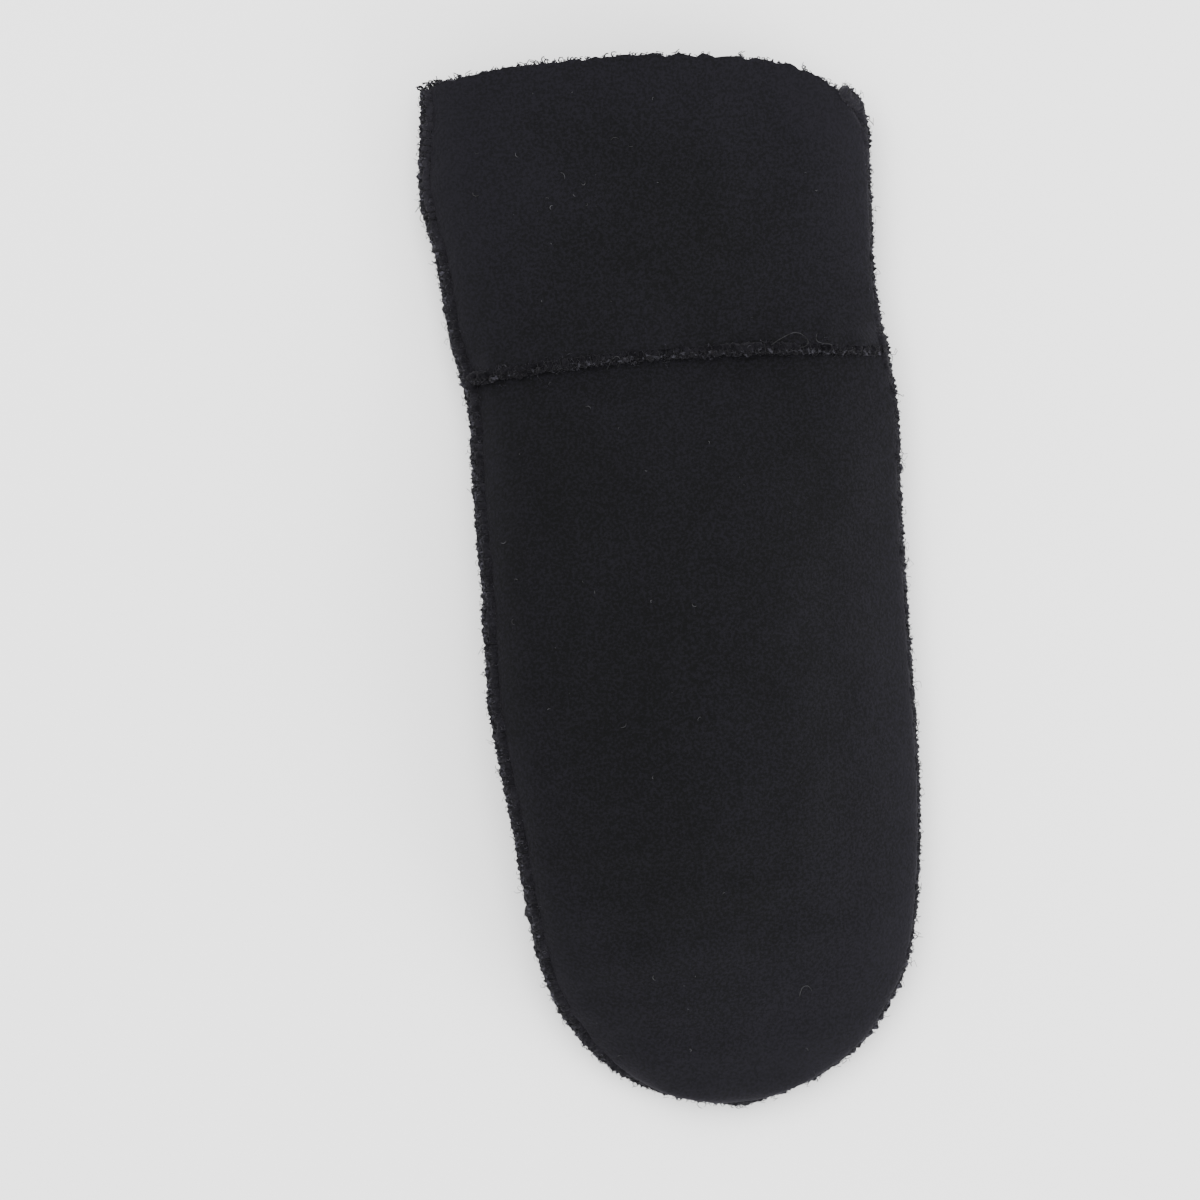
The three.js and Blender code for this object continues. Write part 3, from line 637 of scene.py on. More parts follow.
def heel_line_at(y):
    """Where the thumb's underside meets the palm's, found by halving."""
    inside, outside = (thumb_near(y) + thumb_far(y)) / 2, thumb_far(y)
    for _ in range(HEEL_HALVINGS):
        x = (inside + outside) / 2
        lower = underside(thumb, thumb_near, thumb_far, x, y) < palm_height(x, y)
        inside, outside = np.where(lower, x, inside), np.where(lower, outside, x)
    return inside


HEEL_ROWS = np.linspace(HEEL_START, HEEL_END, HEEL_LINE_POINTS)
HEEL_LINE = heel_line_at(HEEL_ROWS)


def heel_at(y):
    """The heel seam's line, straight across its two ends."""
    return np.interp(-y, -HEEL_ROWS, HEEL_LINE)


# Soft unevenness.

def unit(vectors):
    """Vectors at length one."""
    return vectors / (np.linalg.norm(vectors, axis=-1, keepdims=True) + TINY)


def ripple(points, wavelength, seed, waves=7):
    """Smooth noise of about unit size: the sum of sine waves in random directions, with
    lengths from two thirds to three halves of the given one."""
    rng = np.random.default_rng(seed)
    directions = unit(rng.normal(size=(waves, points.shape[-1])))
    lengths = wavelength * np.exp(rng.uniform(-RIPPLE_SPREAD, RIPPLE_SPREAD, waves))
    phases = rng.uniform(0, 2 * math.pi, waves)
    angle = points @ (directions * (2 * math.pi / lengths)[:, None]).T + phases
    return np.sin(angle).sum(-1) / math.sqrt(waves / 2)


def ripples(points, rows, seed, step=1):
    """Sum of ripples, one for each row of height and length, with seeds a step apart."""
    return sum(height * ripple(points, length, seed + k * step) for k, (height, length) in enumerate(rows))


def unevenness(x, y, across, seam_line, sizes, seed):
    """Height that dents and puckers add at x, y. Dents: long and short ripples that fade at
    the sides. Puckers: waves along a seam that die away from it. The cuff swells to the cuff
    seam as a bell curve does, and the hand dips beside it as another."""
    place = np.stack([x, y], -1)
    length = sizes.dent_length / MM
    dents = ripples(place, ((1, length), (SHORT_DENTS, length / 3)), seed)
    dents *= smooth_step((1 - np.abs(across)) / DENT_FADE) * sizes.dent_depth / MM
    pitch = sizes.pucker_pitch / MM
    beside = HALF_WIDTH * (1 - np.abs(across))
    off = y - seam_line
    wander = PUCKER_WANDER * ripple(place, 4 * pitch, seed + 2)
    side = np.sin(2 * math.pi * y / pitch + wander) * np.exp(-beside / PUCKER_REACH)
    cross = np.sin(2 * math.pi * x / pitch + wander) * np.exp(-np.abs(off) / PUCKER_REACH)
    roll = np.where(off > 0, CUFF_ROLL * np.exp(-(off / CUFF_ROLL_REACH)**2),
                    -CUFF_CREASE * np.exp(-(off / CUFF_CREASE_REACH)**2))
    return dents + (side + cross) * sizes.pucker_depth / MM + roll * smooth_step(beside / PUCKER_REACH)


def back_height(x, y, sizes):
    """Height of the back's or the cuff's visible surface at x, y."""
    s = np.clip(body_share(x, y), -1, 1)
    line = cuff_seam_at(x, BACK_SEAM_BOW)
    return body(s, y)[..., 2] + unevenness(x, y, s, line, sizes, SEEDS["dents"])


# Meshes.

def to_frame(points):
    """Millimetres from axis and cuff seam to metres in the frame."""
    return (np.asarray(points, float) + (AXIS_X, CUFF_SEAM_Y, 0)) * MM


def above_floor(points):
    """Squeezes what hangs lowest: heights below a small one fall off towards the floor as
    an exponential does, and never reach it."""
    z = points[:, 2]
    low = FLOOR_SQUEEZE * np.exp(np.minimum(z / FLOOR_SQUEEZE - 1, 0))
    return np.column_stack([points[:, :2], np.where(z < FLOOR_SQUEEZE, low, z)])


def add_piece(name, points, faces, material, replaced=()):
    """Makes a mesh object of points in millimetres and faces, given as arrays of quads or
    triangles, that ride on the mitten. Faces are turned outwards by the sign of the volume."""
    placed = to_frame(np.maximum(points, (-np.inf, -np.inf, FLOOR_CLEARANCE)))
    volume = 0.0
    for group in faces:
        for k in range(1, group.shape[1] - 1):
            a, b, c = (placed[group[:, i]] for i in (0, k, k + 1))
            volume += np.einsum("ij,ij->i", a, np.cross(b, c)).sum()
    turned = [group[:, ::-1] if volume < 0 else group for group in faces]
    mesh = bpy.data.meshes.new(name)
    mesh.from_pydata(placed.tolist(), [], [face for group in turned for face in group.tolist()])
    if mesh.validate():
        raise RuntimeError(f"{name} has a bad face")
    mesh.polygons.foreach_set("use_smooth", np.ones(len(mesh.polygons), bool))
    mesh.set_sharp_from_angle(angle=math.radians(SHARP_ANGLE))
    mesh.materials.append(material)
    piece = bpy.data.objects.new(name, mesh)
    bpy.context.scene.collection.objects.link(piece)
    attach(piece, "root")
    if replaced:
        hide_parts(*replaced)
    return piece


def used_only(points, quads):
    """Drops the points that no face uses."""
    used, index = np.unique(quads, return_inverse=True)
    return points[used], index.reshape(quads.shape)


def slab(outer, inner, keep=None):
    """Closed sheet between two grids of equal shape (rows, columns, 3): both grids' quads,
    the inner ones turned over, and a wall along every border of the kept cells."""
    rows, columns = outer.shape[:2]
    index = np.arange(rows * columns).reshape(rows, columns)
    under = rows * columns
    a, b, c, d = index[:-1, :-1], index[:-1, 1:], index[1:, 1:], index[1:, :-1]
    keep = np.ones(a.shape, bool) if keep is None else keep
    top = np.stack([a, b, c, d], -1)[keep]
    around = np.pad(keep, 1)
    neighbours = around[:-2, 1:-1], around[1:-1, 2:], around[2:, 1:-1], around[1:-1, :-2]
    walls = []
    for first, second, beyond in zip((a, b, c, d), (b, c, d, a), neighbours):
        border = keep & ~beyond
        p, q = first[border], second[border]
        walls.append(np.stack([q, p, p + under, q + under], -1))
    quads = np.concatenate([top, top[:, ::-1] + under, *walls])
    points = np.concatenate([outer.reshape(-1, 3), inner.reshape(-1, 3)])
    return used_only(points, quads)


def merged(*meshes):
    """Several (points, faces) as one."""
    points, faces, start = [], [], 0
    for mesh_points, mesh_faces in meshes:
        points.append(mesh_points)
        faces.append(mesh_faces + start)
        start += len(mesh_points)
    return np.concatenate(points), np.concatenate(faces)


def tubes(paths, radii, sides=4):
    """Round tubes along many paths at once (tubes, points, 3), each ring a polygon across
    the path, closed by a flat face at both ends."""
    count, steps = paths.shape[:2]
    along = unit(np.gradient(paths, axis=1))
    steep = np.abs(along[:, :1, 2:3]) > STEEP
    helper = np.where(steep, (1.0, 0.0, 0.0), (0.0, 0.0, 1.0))
    across = unit(np.cross(along, np.broadcast_to(helper, along.shape)))
    up = np.cross(across, along)
    angle = 2 * math.pi * np.arange(sides) / sides
    ring = (across[:, :, None] * np.cos(angle)[:, None] + up[:, :, None] * np.sin(angle)[:, None])
    points = paths[:, :, None] + ring * radii[:, :, None, None]
    index = np.arange(count * steps * sides).reshape(count, steps, sides)
    turned = np.roll(index, -1, axis=2)
    quads = np.stack([index[:, :-1], turned[:, :-1], turned[:, 1:], index[:, 1:]], -1).reshape(-1, 4)
    caps = np.concatenate([index[:, 0, ::-1], index[:, -1]])
    return points.reshape(-1, 3), (np.concatenate([quads, caps]) if sides == 4 else quads)


def curls(roots, directions, lengths, radius, rng, steps=CURL_STEPS):
    """Small curled locks: each goes out along its direction and turns round it like a
    widening spiral, and tapers to its tip."""
    count = len(roots)
    t = np.linspace(0, 1, steps)[None, :, None]
    axis = unit(directions)
    first = unit(np.cross(axis, rng.normal(size=(count, 3))))
    second = np.cross(axis, first)
    turns = rng.uniform(*CURL_TURNS, (count, 1, 1)) * 2 * math.pi
    phase = rng.uniform(0, 2 * math.pi, (count, 1, 1))
    reach = lengths[:, None, None]
    curl = CURL_WIDTH * reach * (CURL_START + (1 - CURL_START) * t)
    angle = turns * t + phase
    paths = (roots[:, None] + axis[:, None] * reach * t * (1 - CURL_DROOP * t)
             + first[:, None] * (np.cos(angle) - np.cos(phase)) * curl
             + second[:, None] * (np.sin(angle) - np.sin(phase)) * curl)
    radii = radius * rng.uniform(*LOCK_SPREAD, (count, 1)) * (1 - CURL_TAPER * t[..., 0])
    return tubes(paths, radii)


# Seams.

def on_path(values, arc, at):
    """Rows of values that belong to places along a path, read off at other places."""
    return np.stack([np.interp(at, arc, values[:, k]) for k in range(values.shape[1])], -1)


def even_path(points, spacing):
    """Points at equal steps along a path."""
    length = np.concatenate([[0], np.cumsum(np.linalg.norm(np.diff(points, axis=0), axis=1))])
    count = max(4, round(length[-1] / spacing))
    at = np.linspace(0, length[-1], count + 1)
    return on_path(points, length, at), at


def smoothed(values, steps):
    """Running mean over the given number of steps, with the ends repeated."""
    padded = np.pad(values, [(steps, steps)] + [(0, 0)] * (values.ndim - 1), mode="edge")
    total = np.cumsum(np.concatenate([np.zeros((1, *values.shape[1:])), padded]), axis=0)
    width = 2 * steps + 1
    return (total[width:] - total[:-width]) / width


def level_frame(points):
    """Directions of a seam that lies flat: the way that its raw edges point, outwards from
    the path on the level, and across its two edges."""
    along = unit(smoothed(np.gradient(points, axis=0), FRAME_SMOOTHING))
    out = unit(np.stack([along[:, 1], -along[:, 0], np.zeros(len(along))], -1))
    up = np.cross(out, along)
    up *= np.sign(up[:, 2:])
    return out, up


def ridge_frame(points, sign):
    """Directions of a seam that stands off a surface: its raw edges point up (1) or down
    (-1), and its two edges lie across the path."""
    out, up = level_frame(points)
    return up * sign, out


def tilted(edge, side, degrees):
    """A seam's directions, turned so that its raw edges lean to the given side."""
    turn = np.radians(degrees)
    return edge * np.cos(turn) + side * np.sin(turn), side * np.cos(turn) - edge * np.sin(turn)


def side_seam_path():
    """From the mouth's corner down the index side, round the fingertips, up the other side
    and round the mouth's other corner."""
    tip = -HAND_LENGTH * TIP_SHARE
    offset = SEAM_PROUD * (1 - SEAM_INNER_SHARE) / 2
    turn = np.linspace(0, math.pi / 2, SIDE_PATH_POINTS)[:-1]
    halves = []
    for s, across, corner in ((-1, MOUTH_INDEX, SEAM_CORNERS[0]), (1, MOUTH_LITTLE, SEAM_CORNERS[1])):
        mouth = mouth_at(across * HALF_WIDTH)
        x = np.linspace(corner, across - CORNER_CLEARANCE * s, CORNER_POINTS) * HALF_WIDTH
        round_corner = body(np.clip(body_share(x, mouth_at(x)), -1, 1), mouth_at(x), -offset)
        down = body(s, rows_between(mouth, tip, np.sin(turn)), -offset)
        halves.append(np.concatenate([round_corner, down]))
    whole = np.concatenate([halves[0], halves[1][::-1]])
    return smoothed(even_path(whole, SEAM_RING_STEP)[0], PATH_SMOOTHING)


def cuff_seam_path(bow, below):
    """Over the back or under the palm, from side seam to side seam."""
    s = np.sin(np.linspace(-1, 1, PATH_POINTS) * math.pi / 2) * TIP_SHARE
    y = cuff_seam_at(body(s, 0 * s, 0, below)[:, 0], bow)
    return body(s, y, 0, below)


def heel_seam_path():
    """Between thumb and palm, along the heel of the hand."""
    y = np.linspace(HEEL_SEAM_START, HEEL_END, HEEL_PATH_POINTS)
    x = heel_at(y)
    return np.stack([x, y, palm_height(x, y)], -1)


def crotch_seam_path():
    """Across the crotch, as far as it shows beside the folded thumb."""
    start = index_edge(np.float64(-CROTCH_ALONG)) + CROTCH_SEAM_START
    end = thumb_near(np.float64(-CROTCH_ALONG)) - CROTCH_SEAM_END
    x = np.linspace(start, end, CROTCH_PATH_POINTS)
    y = crotch_at(x)
    return np.stack([x, y, palm_height(x, y)], -1)


def thumb_seam_path():
    """Round the free edge of the thumb, from the side seam by its tip to the crotch."""
    def edge(s, share):
        point = thumb(s, -share * THUMB_LENGTH)
        x = point[:, 0] + s * THUMB_SEAM_PROUD
        return np.stack([x, point[:, 1], thumb_seam_height(x, point[:, 1])], -1)
    near = edge(-1, np.linspace(THUMB_SEAM_START, THUMB_SEAM_TIP, PATH_POINTS))
    far = edge(1, np.linspace(THUMB_SEAM_TIP, THUMB_SEAM_END, THUMB_FAR_POINTS))
    end = np.float64(-THUMB_LENGTH)
    middle = (thumb_near(end) + thumb_far(end)) / 2
    tip = [(middle, end - THUMB_SEAM_PROUD, THUMB_SEAM_HEIGHT * THUMB_THICKNESS)]
    points, _ = even_path(np.concatenate([near, tip, far]), THUMB_PATH_STEP)
    return smoothed(points, THUMB_SMOOTHING)


def rounded_ends(arc):
    """1 along a seam, falling to a fifth at both ends as the height of a circle does."""
    near = np.clip(1 - np.minimum(arc, arc[-1] - arc) / SEAM_END_ROUND, 0, 1)
    return SEAM_END_SHARE + (1 - SEAM_END_SHARE) * np.sqrt(1 - near**2)


def seam_rings(points, edge, side, arc, half_edge, half_side, sizes, seed, sides):
    """Rings of a seam's two raw edges. In each ring the radius is that of an ellipse, with
    a notch between the two edges; it is pinched at every stitch and roughened by ripples,
    and shrinks at both ends as a circle does."""
    angle = 2 * math.pi * np.arange(sides) / sides
    pitch = sizes.stitch_pitch / MM
    drift = STITCH_DRIFT * ripple(arc[:, None], STITCH_DRIFT_PITCHES * pitch, seed)
    puff = np.sqrt(np.abs(np.cos(math.pi * (arc / pitch + drift))))
    notch = NOTCH_DEPTH * np.exp(-(np.minimum(angle, 2 * math.pi - angle) / NOTCH_WIDTH)**2)
    pinch = sizes.stitch_pinch / MM * (1 - puff[:, None]) * (1 - PINCH_LEAN + PINCH_LEAN * np.cos(angle))
    base = np.stack([half_edge * np.cos(angle), half_side * np.sin(angle)], -1) * (1 - notch)[:, None]
    way = np.stack([np.cos(angle), np.sin(angle)], -1)
    wide = ripples(arc[:, None], EDGE_WAVES, seed + 1)
    ring = base[None] + way[None] * (wide[:, None] * np.maximum(np.cos(angle), 0) - pinch)[..., None]
    rings = points[:, None] + edge[:, None] * ring[..., :1] + side[:, None] * ring[..., 1:]
    rough = ripples(rings, ROUGH_WAVES, seed + 3)
    rings = rings + (edge[:, None] * way[:, :1] + side[:, None] * way[:, 1:]) * rough[..., None]
    return points[:, None] + (rings - points[:, None]) * rounded_ends(arc)[:, None, None]


def closed_roll(rings):
    """Skin over rings of equal length, closed by a fan at each end."""
    steps, sides = rings.shape[:2]
    index = np.arange(steps * sides).reshape(steps, sides)
    turned = np.roll(index, -1, axis=1)
    quads = np.stack([index[:-1], turned[:-1], turned[1:], index[1:]], -1).reshape(-1, 4)
    ends = np.stack([rings[0].mean(0), rings[-1].mean(0)])
    first = np.stack([turned[0], index[0], np.full(sides, steps * sides)], -1)
    last = np.stack([index[-1], turned[-1], np.full(sides, steps * sides + 1)], -1)
    return np.concatenate([rings.reshape(-1, 3), ends]), [quads, np.concatenate([first, last])]


def wool_rings(points, edge, side, arc, half_edge, half_side, seed):
    """Rings of the wool between a seam's two raw edges: a flat oval whose lumps are the
    size of small curls."""
    angle = 2 * math.pi * np.arange(WOOL_SIDES) / WOOL_SIDES
    over = edge[:, None] * np.cos(angle)[:, None]
    beside = side[:, None] * np.sin(angle)[:, None]
    rings = points[:, None] + over * half_edge + beside * half_side
    lump = LUMP_HEIGHT * np.abs(ripple(rings, LUMP_LENGTH, seed)) - LUMP_SINK
    lump += LUMP_GRAIN * ripple(rings, LUMP_GRAIN_LENGTH, seed + 1)
    rings = rings + (over + beside) * lump[..., None]
    return points[:, None] + (rings - points[:, None]) * rounded_ends(arc)[:, None, None]


def seam_stitches(points, edge, side, arc, half_edge, half_side, sizes):
    """Overcast stitches: loops of thread over the raw edges, one at each pitch, slanted
    along the seam by half a pitch."""
    pitch = sizes.stitch_pitch / MM
    at = np.arange(pitch / 2, arc[-1] - pitch / 2, pitch)
    turn = np.linspace(-STITCH_TURN, STITCH_TURN, STITCH_STEPS)
    place = at[:, None] + turn[None] / (2 * STITCH_TURN) * pitch * STITCH_SLANT
    radius = sizes.thread_radius / MM
    out = (half_edge * STITCH_HUG[0] + radius * STITCH_PROUD) * np.cos(turn)
    across = (half_side * STITCH_HUG[1] + radius * STITCH_PROUD) * np.sin(turn)
    paths = (on_path(points, arc, place) + on_path(edge, arc, place) * out[None, :, None]
             + on_path(side, arc, place) * across[None, :, None])
    return tubes(paths, np.full(paths.shape[:2], radius))


def seam_curls(points, edge, side, arc, half_edge, half_side, sizes, rng):
    """Curls of wool that stand out between the raw edges, most of them near the middle."""
    count = int(arc[-1] * MM * sizes.curls_per_metre)
    at = rng.uniform(0, arc[-1], count)
    angle = np.clip(rng.normal(0, CURL_FAN, count), -CURL_FAN_LIMIT, CURL_FAN_LIMIT)[:, None]
    out, across = on_path(edge, arc, at) * np.cos(angle), on_path(side, arc, at) * np.sin(angle)
    roots = on_path(points, arc, at) + out * half_edge * CURL_ROOTS[0] + across * half_side * CURL_ROOTS[1]
    aim = out + across + CURL_SCATTER * rng.normal(size=(count, 3))
    clumps = ripples(at[:, None], CLUMP_WAVES, SEEDS["curls"])
    lengths = sizes.curl_length / MM * np.exp(rng.normal(CURL_MEAN, CURL_SPREAD, count) + clumps)
    return curls(roots, aim, lengths, sizes.fibre_radius / MM, rng)


def add_seam(name, points, edge, side, arc, half_edge, half_side, shade=1.0):
    """One seam: its raw edges, the wool between them, its stitches and its curls; a shade below 1 gives
    painted shade, a darker copy of the raw edges', wool's and curls' materials.
    """
    sizes = bpy.context.scene.mitten_sizes
    seed = SEAM_SEEDS[name]
    rng = np.random.default_rng(seed)
    lips = seam_rings(points, edge, side, arc, half_edge, half_side, sizes, seed, SEAM_SIDES)
    roll, faces = closed_roll(lips)
    add_piece(f"{name}_edges", above_floor(roll), faces, raw_edge_material(shade), (name,))
    core = wool_rings(points, edge, side, arc, half_edge * CORE_SHARES[0], half_side * CORE_SHARES[1],
                      seed + CORE_SEED)
    roll, faces = closed_roll(core)
    add_piece(f"{name}_wool", above_floor(roll), faces, wool_material(shade))
    loops, faces = seam_stitches(points, edge, side, arc, half_edge, half_side, sizes)
    add_piece(f"{name}_stitches", above_floor(loops), [faces], thread_material())
    locks, faces = seam_curls(points, edge, side, arc, half_edge, half_side, sizes, rng)
    add_piece(f"{name}_curls", above_floor(locks), [faces], wool_material(shade))


# Materials.

class Socket:
    """A node's output that Python's operators work on, through Math nodes."""

    def __init__(self, graph, output):
        self.graph = graph
        self.output = output

    def math(self, operation, first, second):
        return self.graph.node("ShaderNodeMath", {"operation": operation}, {0: first, 1: second})

    def __add__(self, other):
        return self.math("ADD", self, other)

    def __radd__(self, other):
        return self.math("ADD", other, self)

    def __sub__(self, other):
        return self.math("SUBTRACT", self, other)

    def __rsub__(self, other):
        return self.math("SUBTRACT", other, self)

    def __mul__(self, other):
        return self.math("MULTIPLY", self, other)

    def __rmul__(self, other):
        return self.math("MULTIPLY", other, self)


class Graph:
    """The nodes of one material."""

    def __init__(self, name):
        self.material = bpy.data.materials.new(name)
        self.material.use_nodes = True
        self.tree = self.material.node_tree
        self.tree.nodes.clear()

    def node(self, kind, settings=None, sockets=None, output=0):
        """Adds a node, its settings first and then its sockets' values or links, and gives
        the named output if it has any."""
        made = self.tree.nodes.new(kind)
        for name, value in (settings or {}).items():
            setattr(made, name, value)
        for name, value in (sockets or {}).items():
            if isinstance(value, Socket):
                self.tree.links.new(value.output, made.inputs[name])
            else:
                made.inputs[name].default_value = value
        return Socket(self, made.outputs[output]) if made.outputs else None

    def place(self):
        return self.node("ShaderNodeTexCoord", output="Object")

    def noise(self, scale, detail=2.0, roughness=0.5, distortion=0.0):
        """Noise from 0 to 1, with the given number of grains a metre."""
        return self.node("ShaderNodeTexNoise", sockets={
            "Vector": self.place(), "Scale": scale, "Detail": detail,
            "Roughness": roughness, "Distortion": distortion})

    def blend(self, factor, first, second):
        """Mix of two colours."""
        made = self.tree.nodes.new("ShaderNodeMix")
        made.data_type = "RGBA"
        for index, value in ((0, factor), (6, first), (7, second)):
            if isinstance(value, Socket):
                self.tree.links.new(value.output, made.inputs[index])
            elif index == 0:
                made.inputs[index].default_value = value
            else:
                made.inputs[index].default_value = (*value, 1)
        return Socket(self, made.outputs[2])

    def stretched(self, value, low, high):
        """0 to 1 as the value goes from low to high."""
        return self.node("ShaderNodeMapRange", {"clamp": True, "interpolation_type": "SMOOTHSTEP"}, {
            "Value": value, "From Min": low, "From Max": high, "To Min": 0.0, "To Max": 1.0})

    def bump(self, height, distance, strength, under=None):
        sockets = {"Height": height, "Distance": distance, "Strength": strength}
        if under is not None:
            sockets["Normal"] = under
        return self.node("ShaderNodeBump", sockets=sockets)

    def finish(self, sockets):
        """Principled surface with the given sockets."""
        surface = self.node("ShaderNodeBsdfPrincipled", sockets=sockets)
        self.node("ShaderNodeOutputMaterial", sockets={"Surface": surface})
        return self.material


def shaded(colour, share):
    """A colour made darker or lighter."""
    return tuple(share * c for c in colour)


@functools.cache
def suede_material():
    """Suede: nap lying in soft lighter patches, and painted rim light that makes it lighter away from the
    middle of the mitten, towards its sides and ends; and a fine grain of fibre ends."""
    colours = bpy.context.scene.mitten_colours
    graph = Graph("suede")
    patches = graph.noise(NAP_PATCHES, detail=3.0, roughness=0.55, distortion=0.6)
    strokes = graph.noise(NAP_STROKES, distortion=0.4)
    grain = graph.noise(NAP_GRAIN, detail=1.0)
    fine = graph.noise(NAP_FINE, detail=1.0)
    # Distance from the middle of the mitten; its share in the nap below is painted rim light.
    away = graph.node("ShaderNodeVectorMath", {"operation": "MULTIPLY"}, {0: graph.place(), 1: PAINTED_RIM_SPREAD})
    away = graph.node("ShaderNodeVectorMath", {"operation": "LENGTH"}, {0: away}, "Value")
    # Painted rim light (the distance term) plus random nap patches and strokes.
    nap = 0.45 * graph.stretched(away, low=0.5, high=1.15) + 0.7 * (patches - 0.5) + 0.25 * (strokes - 0.5)
    speckle = graph.stretched(0.7 * grain + 0.3 * fine, low=0.36, high=0.66)
    lighter_with_painted_light = graph.stretched(nap + 0.75 * (speckle - 0.5) + 0.15, low=-0.4, high=1.0)
    return graph.finish({
        "Base Color": graph.blend(lighter_with_painted_light, colours.suede, colours.suede_nap_and_painted_rim),
        "Roughness": 0.86 + 0.12 * grain,
        "Normal": graph.bump(0.6 * grain + 0.3 * fine + 0.5 * strokes, distance=0.0005, strength=0.6),
        "Specular IOR Level": 0.03,
        "Sheen Weight": 0.05,
        "Sheen Roughness": 0.5,
        "Sheen Tint": (0.9, 0.86, 1.0, 1.0),
    })


@functools.cache
def raw_edge_material(shade=1.0):
    """Cut edges of the suede: torn fibre, lighter at random, and lighter towards the mouth by painted light
    that lifts the seams' shade on the cuff, with a coarse bump."""
    # A shade below 1 is painted shade: a darker copy of this material, with less specular and sheen.
    edge = shaded(bpy.context.scene.mitten_colours.raw_edge, shade)
    graph = Graph("raw_edge")
    torn = graph.noise(EDGE_TORN, detail=3.0, roughness=0.65, distortion=0.8)
    patches = graph.noise(EDGE_PATCHES)
    along = graph.node("ShaderNodeSeparateXYZ", sockets={"Vector": graph.place()}, output="Y")
    # Painted light: the raw edges get lighter towards the mouth.
    lighter_with_painted_light = graph.stretched(along, PAINTED_LIFT_FROM, PAINTED_LIFT_TO)
    light = graph.stretched(0.6 * torn + 0.4 * patches + 0.17 * lighter_with_painted_light, low=0.35, high=0.7)
    return graph.finish({
        "Base Color": graph.blend(light, shaded(edge, 0.5), shaded(edge, 1.9)),
        "Roughness": 0.9,
        "Normal": graph.bump(torn, distance=0.0006, strength=0.8),
        "Specular IOR Level": 0.035 * shade,
        "Sheen Weight": 0.05 * shade,
        "Sheen Roughness": 0.5,
        "Sheen Tint": (0.95, 0.92, 1.0, 1.0),
    })


@functools.cache
def wool_material(shade=1.0):
    """Wool: curls a millimetre across in a swirled noise, darker between them: painted shade in the hollows
    of the same swirl's bump, mixed with a random tone of locks; and painted glints, a few specks much
    lighter, as fibre ends that catch the light."""
    # A shade below 1 is painted shade: a darker copy of this material, with less specular and sheen.
    wool = shaded(bpy.context.scene.mitten_colours.wool, shade)
    graph = Graph("wool")
    swirl = graph.noise(WOOL_SWIRL, detail=3.0, roughness=0.6, distortion=2.2)
    locks = graph.noise(WOOL_LOCKS, distortion=0.8)
    # Painted shade between curls: darker where the swirl's bump is low; the locks' share is random tone.
    light = graph.stretched(0.6 * swirl + 0.4 * locks, low=0.38, high=0.66)
    # Painted glints: sparse specks far lighter than the wool.
    painted_glints = graph.stretched(graph.noise(WOOL_PAINTED_GLINTS, detail=1.0), low=0.52, high=0.66)
    colour = graph.blend(light, shaded(wool, 0.4), shaded(wool, 1.7))
    return graph.finish({
        "Base Color": graph.blend(painted_glints, colour, shaded(wool, 5.4)),
        "Roughness": 0.8,
        "Normal": graph.bump(swirl, distance=0.0009, strength=0.9),
        "Specular IOR Level": 0.06 * shade,
        "Sheen Weight": 0.07 * shade,
        "Sheen Roughness": 0.4,
        "Sheen Tint": (0.95, 0.92, 1.0, 1.0),
    })


@functools.cache
def thread_material():
    """Sewing thread: a slight gloss, with twisted plies as a fine noise."""
    thread = bpy.context.scene.mitten_colours.thread
    graph = Graph("thread")
    plies = graph.noise(THREAD_PLIES, distortion=1.5)
    return graph.finish({
        "Base Color": graph.blend(plies, shaded(thread, 0.7), shaded(thread, 1.4)),
        "Roughness": 0.6,
        "Normal": graph.bump(plies, distance=0.0002, strength=0.5),
        "Specular IOR Level": 0.15,
    })


@functools.cache
def lint_material(shade=1.0):
    """Loose fibres: pale grey, uneven along their length."""
    lint = shaded(bpy.context.scene.mitten_colours.lint, shade)
    graph = Graph("lint")
    tone = graph.stretched(graph.noise(LINT_TONE, detail=1.0), low=0.35, high=0.65)
    colour = graph.blend(tone, shaded(lint, 0.25), shaded(lint, 1.5))
    return graph.finish({"Base Color": colour, "Roughness": 0.7, "Specular IOR Level": 0.3 * shade})


@functools.cache
def floor_material():
    """Plain pale floor with a barely visible tone."""
    floor = bpy.context.scene.mitten_stage.floor
    graph = Graph("pale_floor")
    colour = graph.blend(graph.noise(FLOOR_TONE), shaded(floor, 0.985), floor)
    return graph.finish({"Base Color": colour, "Roughness": 0.9, "Specular IOR Level": 0.1})


# Pieces.

def overhang(points, below):
    """How far a panel's rim swells out over the side seam: with the height h off the seam
    it goes as h e^(1-h) times the level part of the surface's normal, and fades towards
    the index side and the mouth."""
    height = np.abs(points[..., 2] - seam_height(points[..., 0], points[..., 1])) / OVERHANG_HEIGHT
    normal = unit(np.cross(np.gradient(points, axis=1), np.gradient(points, axis=0)))
    normal *= np.sign(normal[..., 2:].mean()) * (-1 if below else 1)
    x, y = points[..., 0], points[..., 1]
    weight = smooth_step((x - OVERHANG_START) / OVERHANG_WIDTH)
    weight *= smooth_step((mouth_at(x) - y) / OVERHANG_TO_MOUTH)
    swell = OVERHANG * (OVERHANG_BELOW if below else 1) * weight * height * np.exp(1 - height)
    return swell[..., None] * normal * (1, 1, 0)


def panel_rise(points, below, sizes):
    """Height that dents and puckers add to the points of a panel."""
    x, y = points[..., 0], points[..., 1]
    line = cuff_seam_at(x, PALM_SEAM_BOW if below else BACK_SEAM_BOW)
    seed = SEEDS["palm_dents" if below else "dents"]
    rise = unevenness(x, y, np.clip(body_share(x, y), -1, 1), line, sizes, seed)
    return UNDERSIDE_SHARE * np.maximum(rise, 0) if below else rise


